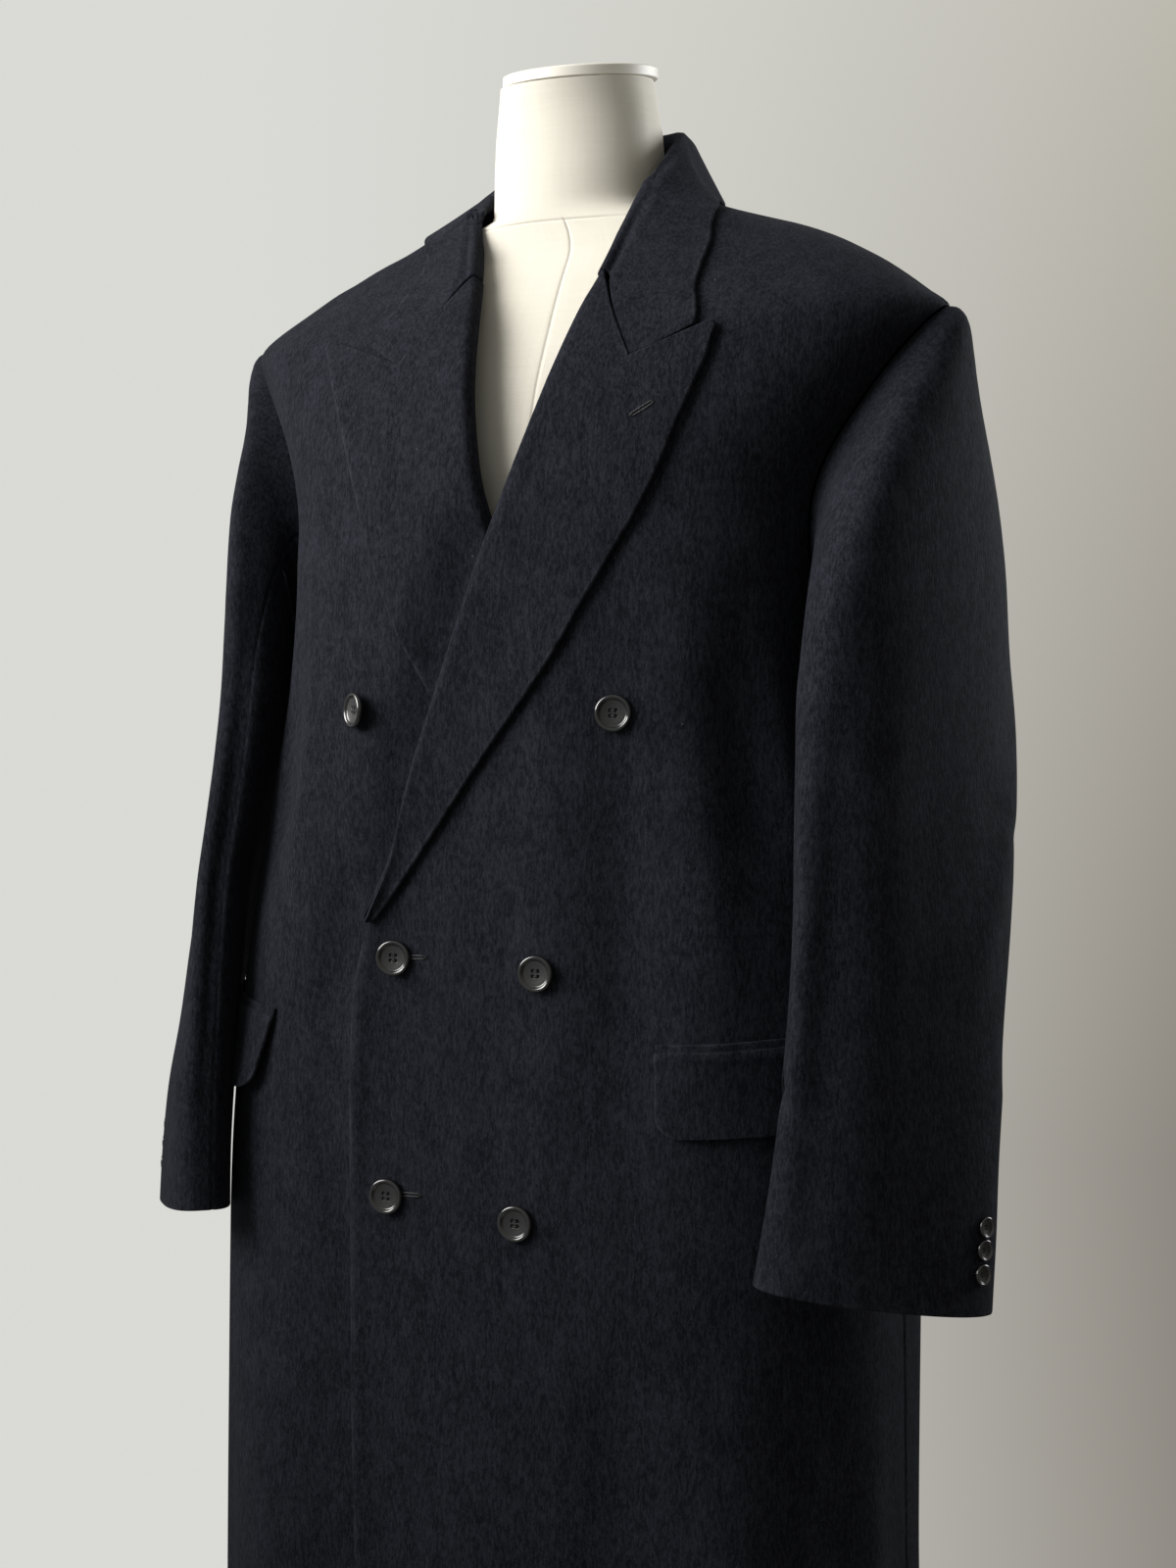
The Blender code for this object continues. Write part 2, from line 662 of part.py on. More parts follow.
def lapel(name, edge, outline, corners, layer, puff, sign):
    """A lapel leaf: it wraps the front's folded edge and lies on its front."""
    roll, grid, across = lapel_places(edge, outline, corners)
    around = around_at(roll[:, 0], roll[:, 1])
    line = layer(around, roll[:, 1], np.zeros(len(roll)))
    normal = body_normal(around, roll[:, 1])
    away = edge_direction(line, normal, np.array([-sign, -BODY_DEPTH, BREAK_HEIGHT]))
    lift = LAPEL_LIFT + puff * (1 - across) ** PUFF_FADE
    places = around_at(grid[..., 0], grid[..., 1])
    crest = LAPEL_LIFT + puff
    sides = []
    for turn, thickness in ((TURN_INSIDE, 0.0), (TURN_OUTSIDE, LEAF)):
        height = np.broadcast_to(lift + thickness, places.shape)
        laid = layer(places, grid[..., 1], height)
        wrap = [
            line + away * (LAPEL_SEAM + past) + normal * (up + crest * crest_share)
            for past, up, crest_share in turn
        ]
        sides.append(np.concatenate([np.stack(wrap, axis=1), laid], axis=1))
    return wall_mesh(name, sides[1], sides[0])


def build_lapels(material):
    """Left and right lapels."""
    left = (LEFT_GORGE, LEFT_NOTCH, LEFT_PEAK)
    right = (RIGHT_GORGE, RIGHT_NOTCH, RIGHT_PEAK)
    left_piece = ("left_lapel", LEFT_EDGE, LEFT_LAPEL, left, left_layer, LEFT_PUFF, 1)
    right_piece = ("right_lapel", RIGHT_EDGE, RIGHT_LAPEL, right, right_layer, RIGHT_PUFF, -1)
    place(lapel(*left_piece), material)
    place(lapel(*right_piece), material)


def neck_line(edge, gorge, sign):
    """The neck seam from the gorge, past the neck point, to the centre back."""
    along = np.array(COLLAR_STEPS)
    height = gorge[1] + (NECK_HEIGHT - gorge[1]) * np.clip(along / NECK_POINT, 0, 1)
    around = around_at(edge_side(edge, height), height)
    start = around_at(edge_side(edge, NECK_HEIGHT), NECK_HEIGHT)
    past = np.clip((along - NECK_POINT) / (1 - NECK_POINT), 0, 1)
    return along, np.where(along > NECK_POINT, start + (2 * sign - start) * past, around), height


def collar_stand(along, around, height, roll_table, sign):
    """Rows of the collar from the neck seam up to and over its rolled crest."""
    line = left_layer(around, height, np.zeros(len(along)))
    normal = body_normal(around, height)
    away = edge_direction(line, normal, np.array(NECK_MIDDLE))
    roll = np.stack(
        [
            sign * column(roll_table, ROLL_COLUMNS, "sideways", along),
            -column(roll_table, ROLL_COLUMNS, "forward", along),
            column(roll_table, ROLL_COLUMNS, "height", along),
        ],
        axis=-1,
    )
    near = ease(along, ROLL_START, NECK_POINT)[:, None]
    crest = (line + normal * GORGE_LIFT) * (1 - near) + roll * near
    inward = unit(away * np.array([1.0, 1.0, 0.0]))
    beside = (away * inward).sum(axis=-1, keepdims=True) * COLLAR_CLOTH / 2
    stand = line + away * (COLLAR_GAP + beside) - normal * CLOTH / 2
    rise = crest - stand
    up = unit(rise - inward * (rise * inward).sum(axis=-1, keepdims=True))
    inner_turn = crest + (inward - up) * COLLAR_TURN
    outer_turn = crest - (inward + up) * COLLAR_TURN
    return [stand, (stand + inner_turn) / 2, inner_turn, crest, outer_turn], outer_turn - line


def collar_half(edge, roll_table, fall_table, corners, sign):
    """The middle of one half of the collar's wall, from the gorge to centre back."""
    gorge, notch, corner = corners
    along, around, height = neck_line(edge, gorge, sign)
    profile, offset = collar_stand(along, around, height, roll_table, sign)
    first = abs(float(around_at(corner[0], corner[1])))
    rows = [(0.0, first, corner[1]), *fall_table]
    fall_around = sign * column(rows, FALL_COLUMNS, "around", along)
    fall_height = column(rows, FALL_COLUMNS, "height", along)
    share = np.sort(np.append(FALL_SHARES, kink_share(*corners)))
    bend = kinked_line(share, corners)
    bend_around = around_at(bend[:, 0], bend[:, 1])
    bend_around = bend_around - (around[0] + share * (fall_around[0] - around[0]))
    bend_height = bend[:, 1] - (height[0] + share * (fall_height[0] - height[0]))
    fade = (1 - along) ** NOTCH_FADE
    for k, part in enumerate(share):
        at = around + part * (fall_around - around) + fade * bend_around[k]
        level = height + part * (fall_height - height) + fade * bend_height[k]
        laid = left_layer(at, level, np.full(len(along), COLLAR_LIFT))
        profile.append(laid + offset * (1 - part) ** FALL_FADE)
    return np.stack(profile, axis=1)


def build_collar(material):
    """One collar leaf: a stand round the neck, a rolled crest and a fall."""
    halves = []
    for edge, roll, fall, corners, sign in (
        (LEFT_EDGE, LEFT_ROLL, LEFT_FALL, (LEFT_GORGE, LEFT_NOTCH, LEFT_CORNER), 1),
        (RIGHT_EDGE, RIGHT_ROLL, RIGHT_FALL, (RIGHT_GORGE, RIGHT_NOTCH, RIGHT_CORNER), -1),
    ):
        gorge, notch, corner = corners
        start = (gorge[0] + sign * COLLAR_START[0], gorge[1] + COLLAR_START[1])
        notch = (notch[0] + sign * COLLAR_SEAM[0], notch[1] + COLLAR_SEAM[1])
        halves.append(collar_half(edge, roll, fall, (start, notch, corner), sign))
    near, far = halves
    middle = np.concatenate([near, far[-2::-1]])
    normal = unit(np.cross(np.gradient(middle, axis=0), np.gradient(middle, axis=1)))
    half = normal * COLLAR_CLOTH / 2
    place(wall_mesh("collar", middle + half, middle - half), material)


def turn_per_metre(around, height):
    """How much of a turn covers a metre of cloth from a place on the body."""
    ahead = body(around + FLAP_LENGTH, height) - body(around, height)
    return FLAP_LENGTH / np.linalg.norm(ahead)


def front_turns(side, row_heights):
    """Places round the body where a front's columns start and end at its rows."""
    edge = LEFT_EDGE if side > 0 else RIGHT_EDGE
    start = around_at(edge_side(edge, row_heights), row_heights)
    return start, side * side_limit(row_heights, backwards=False)


def on_facets(side, around, height, lift):
    """A point lifted off a front panel as its flat facets lie."""
    layer = left_layer if side > 0 else right_layer
    rows = panel_heights()
    starts, ends = front_turns(side, rows)
    k = np.clip(np.searchsorted(rows, height) - 1, 0, len(rows) - 2)
    t = (height - rows[k]) / (rows[k + 1] - rows[k])
    start = starts[k] * (1 - t) + starts[k + 1] * t
    end = ends[k] * (1 - t) + ends[k + 1] * t
    along = (around - start) / (end - start) * (FRONT_COLUMNS - 1)
    j = np.clip(along.astype(int), 0, FRONT_COLUMNS - 2)
    u = along - j
    point = body_normal(around, height) * lift[..., None]
    for row, row_share in ((k, 1 - t), (k + 1, t)):
        for step, step_share in ((j, 1 - u), (j + 1, u)):
            turn = starts[row] + (ends[row] - starts[row]) * step / (FRONT_COLUMNS - 1)
            corner = layer(turn, rows[row], np.zeros(turn.shape))
            point = point + (row_share * step_share)[..., None] * corner
    return point


def pocket_piece(name, side, begin, span, lifts, thickness, corner, rows):
    """A strip laid on a front's own columns, with its lower corners rounded."""
    drop = np.linspace(*span, rows)
    into = np.clip(drop - (span[1] - corner), 0, corner)
    first = abs(float(around_at(begin, FLAP_TOP)))
    per_metre = turn_per_metre(first, FLAP_TOP)
    inset = (corner - np.sqrt(corner**2 - into**2))[:, None] * per_metre
    last = first + FLAP_LENGTH * per_metre
    ends = front_turns(side, np.array([FLAP_TOP]))
    columns = side * (ends[0] + (ends[1] - ends[0]) * np.linspace(0, 1, FRONT_COLUMNS))
    margin = FLAP_MARGIN * per_metre
    columns = columns[(columns > first + margin) & (columns < last - margin)]
    columns = np.concatenate([[first], columns, [last]])
    order = np.arange(len(columns)) * margin / 4
    low = first + inset + order
    high = last - inset - order[::-1]
    around = side * np.minimum(np.maximum(columns, low), high)
    run = (np.abs(around) - first) / per_metre
    level = FLAP_TOP + FLAP_RISE * run - drop[:, None]
    share = run / FLAP_LENGTH
    down = np.linspace(0, 1, rows)[:, None] ** FLAP_CURL * (1 - FLAP_CALM * share)
    lift = lifts[0] + (lifts[1] - lifts[0]) * down
    inner = on_facets(side, around, level, lift)
    outer = on_facets(side, around, level, lift + thickness)
    return wall_mesh(name, outer, inner)


def build_pockets(material):
    """A flap hanging below a narrow welt on each side."""
    for name, side, begin, stand in (
        ("left", 1, LEFT_POCKET, LEFT_FLAP_STAND),
        ("right", -1, RIGHT_POCKET, RIGHT_FLAP_STAND),
    ):
        span = (-SEAM - WELT_HEIGHT, -SEAM)
        lifts = (FLAP_SEAM, FLAP_SEAM)
        welt = pocket_piece(name + "_welt", side, begin, span, lifts, WELT_THICKNESS, 0, 2)
        place(welt, material)
        span = (0, FLAP_DROP)
        lifts = (FLAP_SEAM, stand)
        flap = pocket_piece(
            name + "_flap", side, begin, span, lifts, FLAP_CLOTH, FLAP_CORNER, FLAP_ROWS
        )
        place(flap, material)


def button_mesh(name, centre, normal, radius, thickness, sides):
    """A turned button: flat back, rounded rim and a sunk middle."""
    across = unit(np.cross(normal, [0.0, 0.0, 1.0]))
    upward = np.cross(across, normal)
    turn = np.arange(sides) * 2 * math.pi / sides
    circle = np.cos(turn)[:, None] * across + np.sin(turn)[:, None] * upward
    rings = [
        centre + circle * radius * out + normal * thickness * up for out, up in BUTTON_PROFILE
    ]
    return lathe_mesh(name, rings)


def build_front_buttons(material):
    """Six buttons in two columns on the fronts."""
    for name, sideways, height in FRONT_BUTTONS:
        around = around_at(sideways, height)
        layer = right_layer if name == "button_top_right" else left_layer
        centre = layer(around, height, np.array(BUTTON_LIFT))
        normal = body_normal(around, height)
        size = (BUTTON_RADIUS, BUTTON_THICKNESS, BUTTON_SIDES)
        place(button_mesh(name, centre, normal, *size), material)


def sleeve_row(table, height):
    """A sleeve's section sizes at a height."""
    return [column(table[::-1], SLEEVE_COLUMNS, name, height) for name in SLEEVE_COLUMNS[1:]]


def sleeve_ring(table, step, height):
    """Points of one sleeve section, round the same steps as the armhole."""
    sideways, forward, length, depth, turn = sleeve_row(table, height)
    angle = math.radians(turn)
    along = np.array([math.cos(angle), math.sin(angle), 0.0])
    inward = np.array([-math.sin(angle), math.cos(angle), 0.0])
    angle = np.asarray(step, float) * math.pi / ARMHOLE_STEPS
    flat = np.sin(angle)
    thick = np.cos(angle)
    norm = np.abs(flat) ** SLEEVE_SQUARENESS + np.abs(thick) ** SLEEVE_SQUARENESS
    push = norm ** (-1 / SLEEVE_SQUARENESS)
    run = length * flat * push
    centre = np.array([sideways, -forward, height])
    points = centre - run[..., None] * along - (depth * thick * push)[..., None] * inward
    top, bottom = table[0][0], table[-1][0]
    points[..., 2] += CUFF_SLOPE * (top - height) / (top - bottom) * run
    return points


def sleeve_surface(table):
    """Rings of a sleeve's outer surface from the armhole to the cuff, on the left side."""
    step = np.arange(2 * ARMHOLE_STEPS, dtype=float)
    around, height = armhole(step)
    seam = body(around, height)
    normal = body_normal(around, height)
    quarter = ARMHOLE_STEPS / 2
    middle = body(*armhole(np.array([quarter, 3 * quarter]))).mean(axis=0)
    tangent = unit(np.roll(seam, -1, axis=0) - np.roll(seam, 1, axis=0))
    inward = unit(np.cross(tangent, normal))
    inward = inward * np.sign(((middle - seam) * inward).sum(axis=-1))[:, None]
    crown = seam + inward * CROWN_RISE + np.array(CROWN_OUTWARD) * CROWN_OUT
    wide = sleeve_ring(table, step, table[0][0])
    foot = sleeve_ring(table, step, SLEEVE_HEIGHTS[0])
    high = (1 + np.cos(step * math.pi / ARMHOLE_STEPS)) / 2
    rings = [seam + inward * SEAM, crown]
    for share in HEAD_SHARES:
        bow = math.sin(math.pi * share) * HEAD_BOW * high[:, None]
        bow = bow * (1 - HEAD_BOW_FADE * ease(share, 0.0, 1.0))
        spread = (wide - crown) * np.array([1.0, 1.0, 0.0])
        rings.append(crown + (foot - crown) * share + spread * bow)
    rings.extend(sleeve_ring(table, step, level) for level in SLEEVE_HEIGHTS)
    return np.array(rings), normal


def sleeve_wall(table):
    """Outer and inner rings of a sleeve."""
    outer, seam_normal = sleeve_surface(table)
    round_it = np.roll(outer, -1, axis=1) - np.roll(outer, 1, axis=1)
    normal = unit(np.cross(round_it, np.gradient(outer, axis=0)))
    centre = outer.mean(axis=1, keepdims=True)
    normal = normal * np.sign(((outer - centre)[-1] * normal[-1]).sum())
    normal[0] = seam_normal
    return outer, outer - normal * CLOTH


def on_side(points, side):
    """Points of the left side, or their mirror image about the body's middle."""
    moved = points.copy()
    if side == "right":
        moved[..., 0] = 2 * column(BODY, BODY_COLUMNS, "centre", points[..., 2]) - moved[..., 0]
    return moved


def build_sleeves(material):
    """A top and an under sleeve on each side."""
    steps_round = 2 * ARMHOLE_STEPS
    for side, table in SLEEVES:
        outer, inner = sleeve_wall(table)
        for part, start, end in (
            ("top_sleeve", BACK_SLEEVE_SEAM, FRONT_SLEEVE_SEAM + steps_round),
            ("under_sleeve", FRONT_SLEEVE_SEAM, BACK_SLEEVE_SEAM),
        ):
            steps = np.arange(start, end + 1) % steps_round
            skin = outer[:, steps]
            lining = inner[:, steps]
            for edge, next_in in ((0, 1), (-1, -2)):
                along = unit(skin[:, next_in] - skin[:, edge]) * SEAM / 2
                skin[:, edge] += along
                lining[:, edge] += along
            mesh = wall_mesh(f"{side}_{part}", on_side(skin, side), on_side(lining, side))
            place(mesh, material)


def build_cuff_buttons(material):
    """Three buttons up the back seam of each sleeve."""
    for side, table in SLEEVES:
        for number, height in enumerate(CUFF_BUTTON_HEIGHTS, start=1):
            here, ahead = sleeve_ring(table, [CUFF_BUTTON_STEP, CUFF_BUTTON_STEP + 0.5], height)
            above = sleeve_ring(table, [CUFF_BUTTON_STEP], height + CUFF_BUTTON_RADIUS)[0]
            middle = sleeve_ring(table, range(2 * ARMHOLE_STEPS), height).mean(axis=0)
            normal = unit(np.cross(ahead - here, above - here))
            normal = normal * np.sign(normal @ (here - middle))
            centre = on_side(here + normal * BUTTON_LIFT, side)
            if side == "right":
                normal = normal * np.array([-1.0, 1.0, 1.0])
            size = (CUFF_BUTTON_RADIUS, CUFF_BUTTON_THICKNESS, CUFF_BUTTON_SIDES)
            place(button_mesh(f"{side}_cuff_button_{number}", centre, normal, *size), material)


def build_torso(material):
    """The dress form's body and neck in one, with the neck's top tilted forwards."""
    turn = np.arange(FORM_SIDES) * 4 / FORM_SIDES
    rings = []
    for height, width, front, back, squareness in FORM:
        side, ahead = level_section(turn, width, front, back, squareness)
        tilt = NECK_TILT * ease(height, NECK_TILT_FROM, FORM[-1][0])
        level = height + tilt * (ahead - NECK_CENTRE)
        level = level - shoulder_drop(turn, height) * (1 - ease(height, *NECK_ROOT))
        rings.append(np.stack([side, ahead, level], axis=-1))
    place(lathe_mesh("form_torso", rings), material)


def disc_mesh(name, radius, profile, base, thickness, sides, centre=0.0, tilt=0.0):
    """A round piece from shares of its radius and thickness, tilted about its middle."""
    turn = np.arange(sides) * 2 * math.pi / sides
    rings = []
    for out, up in profile:
        ahead = radius * out * np.sin(turn)
        level = base + thickness * up + tilt * ahead
        rings.append(np.stack([radius * out * np.cos(turn), centre + ahead, level], axis=-1))
    return lathe_mesh(name, rings)


def build_stand(cap, metal):
    """The neck cap, and the round foot and its pole in one."""
    top = FORM[-1][0] + SEAM
    neck = (CAP_RADIUS, CAP_PROFILE, top, CAP_THICKNESS, FORM_SIDES, NECK_CENTRE, NECK_TILT)
    place(disc_mesh("neck_cap", *neck), cap)
    slim = POLE_RADIUS / FOOT_RADIUS
    pole_top = (FORM[0][0] - SEAM) / FOOT_THICKNESS
    profile = (*FOOT_PROFILE, (slim, POLE_START), (slim, pole_top))
    stand = (FOOT_RADIUS, profile, 0.0, FOOT_THICKNESS, FORM_SIDES)
    place(disc_mesh("form_stand", *stand), metal)


def main():
    """Clears the scene and builds every piece."""
    for old in list(bpy.data.objects):
        bpy.data.objects.remove(old, do_unlink=True)
    wool = make_material("wool", (0.012, 0.013, 0.017), 0.92)
    build_fronts(wool)
    build_backs(wool)
    build_sleeves(wool)
    build_lapels(wool)
    build_collar(wool)
    build_pockets(wool)
    horn = make_material("black_button", (0.008, 0.008, 0.009), 0.22)
    build_front_buttons(horn)
    build_cuff_buttons(horn)
    build_torso(make_material("linen", (0.68, 0.62, 0.52), 0.90))
    cap = make_material("cap_enamel", (0.74, 0.71, 0.64), 0.45)
    build_stand(cap, make_material("stand_metal", (0.62, 0.60, 0.57), 0.42, 0.6))


main()
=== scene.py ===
"""Looks of a double-breasted wool overcoat worn by a limbless dress form.

The wearer faces -Y and the wearer's left is +X.  The coat's body is one smooth surface
around the form.  Each cloth piece is a stretch of that surface, or a sheet laid on it,
with its real thickness, seams, rolled edges and folds.
"""

import logging
import math
from dataclasses import dataclass
from enum import Enum
from functools import lru_cache
from typing import Any, Callable, Optional, Sequence, Union

import bpy
import numpy as np
from mathutils import Matrix


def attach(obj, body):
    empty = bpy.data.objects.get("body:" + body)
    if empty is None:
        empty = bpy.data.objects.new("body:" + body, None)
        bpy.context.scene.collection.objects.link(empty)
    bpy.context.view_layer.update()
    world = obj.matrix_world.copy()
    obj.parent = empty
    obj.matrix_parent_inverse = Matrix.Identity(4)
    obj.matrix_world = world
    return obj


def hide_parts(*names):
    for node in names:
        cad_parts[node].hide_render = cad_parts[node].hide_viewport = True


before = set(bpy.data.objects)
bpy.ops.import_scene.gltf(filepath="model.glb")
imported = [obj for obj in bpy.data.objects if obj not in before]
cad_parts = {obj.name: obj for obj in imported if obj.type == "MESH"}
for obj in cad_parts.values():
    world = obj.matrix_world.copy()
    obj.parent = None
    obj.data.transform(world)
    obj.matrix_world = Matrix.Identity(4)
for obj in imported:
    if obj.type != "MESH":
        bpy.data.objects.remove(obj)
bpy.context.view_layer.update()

Array = np.ndarray
Number = Union[float, Array]
Colour = tuple[float, float, float]
Place = tuple[float, float]
Span = tuple[float, float]
Row = tuple[float, ...]
Table = tuple[Row, ...]
Piece = bpy.types.Object
Material = bpy.types.Material

LOG = logging.getLogger("overcoat")

# Metres: the panels' cloth, a lapel's two layers, the space at a seam, and how far a painted edge highlight
# reaches in from an edge.
CLOTH = 0.0025
LEAF = 0.0036
SEAM = 0.0003
HIGHLIGHT_REACH = 0.0015

UP = np.array([0.0, 0.0, 1.0])

# A smooth table is read at steps this far apart.
TABLE_STEP = 5e-4
# An armhole and a sleeve have 24 steps round them, and each is this turn.
STEPS = 24.0
STEP_TURN = math.pi / 12
# Faces that meet at a sharper turn than this, in degrees, keep a crisp edge.
CRISP = 52.0


class Side(Enum):
    """The wearer's left or right side; the value is its way along X."""

    LEFT = 1
    RIGHT = -1

    @property
    def word(self) -> str:
        """The side's name in lower case."""
        return self.name.lower()


class Held(Enum):
    """How a sheet of cloth is held."""

    HUNG = "hung"
    FOLDED = "folded"


class Slot(Enum):
    """The material slots of the record."""

    WOOL = "wool"
    BUTTON = "black_button"
    LINEN = "linen"
    CAP = "cap_enamel"
    STAND = "stand_metal"


# ---- curves


def smooth(value: Number, places: Array, heights: Array) -> Array:
    """Monotone cubic curve through a table.

    Args:
        value: Where to read the curve.
        places: Rising places of the table's rows.
        heights: The curve's value at each place.

    Returns:
        The curve's values, with no overshoot between rows.
    """
    step = np.diff(places)
    slope = np.diff(heights) / step
    same = slope[1:] * slope[:-1] > 0
    before = 2 * step[1:] + step[:-1]
    after = step[1:] + 2 * step[:-1]
    left = np.where(same, slope[:-1], 1.0)
    right = np.where(same, slope[1:], 1.0)
    inner = np.where(same, (before + after) / (before / left + after / right), 0.0)
    tangent = np.concatenate([slope[:1], inner, slope[-1:]])
    x = np.clip(value, places[0], places[-1])
    i = np.clip(np.searchsorted(places, x) - 1, 0, len(step) - 1)
    t = (x - places[i]) / step[i]
    rise = t * t * (3 - 2 * t)
    bend = t * (1 - t) ** 2 * tangent[i] + t * t * (t - 1) * tangent[i + 1]
    return heights[i] * (1 - rise) + heights[i + 1] * rise + bend * step[i]


@lru_cache(maxsize=None)
def dense(table: Table, index: int, blur: float) -> tuple[Array, Array]:
    """Places at close steps and one column of a table there, averaged by a bell of width blur."""
    rows = np.array(sorted(table), float)
    at = np.arange(rows[0, 0], rows[-1, 0] + TABLE_STEP, TABLE_STEP)
    values = smooth(at, rows[:, 0], rows[:, index])
    if blur:
        reach = int(3 * blur / TABLE_STEP)
        weights = bell(np.arange(-reach, reach + 1) * TABLE_STEP, blur)
        values = np.convolve(np.pad(values, reach, "edge"), weights / weights.sum(), "valid")
    return at, values


def column(table: Table, index: int, value: Number, blur: float = 0.0) -> Array:
    """One column of a table, read smoothly at the first column's value, averaged over a blur."""
    return np.interp(value, *dense(table, index, blur))


def ease(value: Number, low: float, high: float) -> Array:
    """Soft step from 0 at low to 1 at high: 3 t squared less 2 t cubed."""
    t = np.clip((value - low) / (high - low), 0.0, 1.0)
    return t * t * (3 - 2 * t)


def bell(distance: Number, width: float) -> Array:
    """A soft bump: exp(-(distance / width) squared)."""
    return np.exp(-((distance / width) ** 2))


def bulge(turn: Array, square: Number) -> Array:
    """How far a superellipse lies out from its ellipse: (|sin|^n + |cos|^n) ^ (-1 / n)."""
    return (np.abs(np.sin(turn)) ** square + np.abs(np.cos(turn)) ** square) ** (-1.0 / square)


def circle(count: int) -> Array:
    """Angles of equal steps round a circle, from 0."""
    return np.arange(count) * 2 * np.pi / count


def unit(vectors: Array) -> Array:
    """Vectors scaled to length one."""
    return vectors / np.maximum(np.linalg.norm(vectors, axis=-1, keepdims=True), 1e-12)


def through(controls: Array, places: Array, at: Array) -> Array:
    """Smooth curve through rows of points.

    Args:
        controls: Rows of points, (rows, columns, 3).
        places: Each row's place along the curve.
        at: Where to read the curve.

    Returns:
        A Hermite curve whose slope at each row is the weighted mean of its neighbours'.
    """
    gap = np.diff(places)[:, None, None]
    slope = np.diff(controls, axis=0) / gap
    inner = (slope[1:] * gap[:-1] + slope[:-1] * gap[1:]) / (gap[1:] + gap[:-1])
    tangent = np.concatenate([slope[:1], inner, slope[-1:]])
    i = np.clip(np.searchsorted(places, at, side="right") - 1, 0, len(gap) - 1)
    t = ((at - places[i]) / np.diff(places)[i])[:, None, None]
    rise = t * t * (3 - 2 * t)
    bend = t * (1 - t) ** 2 * tangent[i] + t * t * (t - 1) * tangent[i + 1]
    return controls[i] * (1 - rise) + controls[i + 1] * rise + bend * gap[i]


def chord_places(controls: Array) -> Array:
    """Places along rows of points: 0, then the mean distance from row to row added up."""
    gaps = np.linalg.norm(np.diff(controls, axis=0), axis=-1).mean(axis=1)
    return np.concatenate([[0.0], np.cumsum(gaps)])


def crowded(count: int, crowd: float) -> Array:
    """Shares from 0 to 1, closer together at both ends: s - crowd sin(2 pi s) / 2 pi."""
    s = np.linspace(0.0, 1.0, count)
    return s - crowd * np.sin(2 * np.pi * s) / (2 * np.pi)


def run_along(points: Array, axis: int) -> Array:
    """Distance walked along one way of a grid of points, from its first row or column."""
    gaps = np.linalg.norm(np.diff(points, axis=axis), axis=-1)
    start = np.zeros_like(np.take(gaps, [0], axis=axis))
    return np.concatenate([start, np.cumsum(gaps, axis=axis)], axis=axis)


def outward_normals(points: Array) -> Array:
    """Unit normals of a grid: the cross product of its two gradients."""
    return unit(np.cross(np.gradient(points, axis=1), np.gradient(points, axis=0)))


# ---- meshes


def grid_quads(rows: int, columns: int, wrap: bool = False) -> Array:
    """Point numbers of a grid's quads, row by row; wrap joins the last column to the first."""
    last = columns if wrap else columns - 1
    i, j = np.meshgrid(np.arange(rows - 1), np.arange(last), indexing="ij")
    a = i * columns + j
    b = i * columns + (j + 1) % columns
    return np.stack([a, b, b + columns, a + columns], axis=-1).reshape(-1, 4)


@dataclass
class Skin:
    """Points, faces, each corner's place on the cloth in metres, and how near points lie to an edge, which
    weights a painted edge highlight.
    """

    points: Array
    faces: list[Array]
    places: list[Array]
    # Weights of a painted edge highlight, one for each point.
    edge_highlight: Optional[Array] = None

    def triangles(self) -> Array:
        """Corner points of all faces, each quad as two triangles."""
        parts = []
        for face in self.faces:
            parts.append(self.points[face[:, :3]])
            if face.shape[1] == 4:
                parts.append(self.points[face[:, [0, 2, 3]]])
        return np.concatenate(parts)

    def half_area(self) -> float:
        """Half of the closed surface's area, which is one side of a thin sheet."""
        a, b, c = np.moveaxis(self.triangles(), 1, 0)
        return float(np.linalg.norm(np.cross(b - a, c - a), axis=-1).sum()) / 4

    def facing_out(self) -> "Skin":
        """The same skin, turned round if its enclosed volume comes out negative."""
        a, b, c = np.moveaxis(self.triangles(), 1, 0)
        if (a * np.cross(b, c)).sum() >= 0:
            return self
        faces = [face[:, ::-1] for face in self.faces]
        return Skin(self.points, faces, [place[:, ::-1] for place in self.places], self.edge_highlight)

    def joined(self, *others: "Skin") -> "Skin":
        """This skin and others as one."""
        skins = (self, *others)
        starts = np.cumsum([0, *(len(skin.points) for skin in skins)])
        faces = [face + start for skin, start in zip(skins, starts) for face in skin.faces]
        places = [place for skin in skins for place in skin.places]
        return Skin(np.concatenate([skin.points for skin in skins]), faces, places)


@dataclass(frozen=True)
class Rim:
    """How round each edge of a sheet is, from 0 for a straight cut to 1 for a half circle."""

    start: float = 1.0
    end: float = 1.0
    low: float = 1.0
    high: float = 1.0

    def walk(self, rows: int, columns: int) -> tuple[Array, Array, Array]:
        """A walk round a grid's edge.

        Args:
            rows: Rows of points.
            columns: Points in a row.

        Returns:
            Row number, column number and roundness at each step.
        """
        across, up = np.arange(columns), np.arange(rows)
        row = [np.zeros(columns, int), up[1:], np.full(columns - 1, rows - 1), up[-2:0:-1]]
        col = [across, np.full(rows - 1, columns - 1), across[-2::-1], np.zeros(rows - 2, int)]
        soft = [self.low, self.end, self.high, self.start]
        roundness = [np.full(len(part), value) for part, value in zip(row, soft)]
        return np.concatenate(row), np.concatenate(col), np.concatenate(roundness)


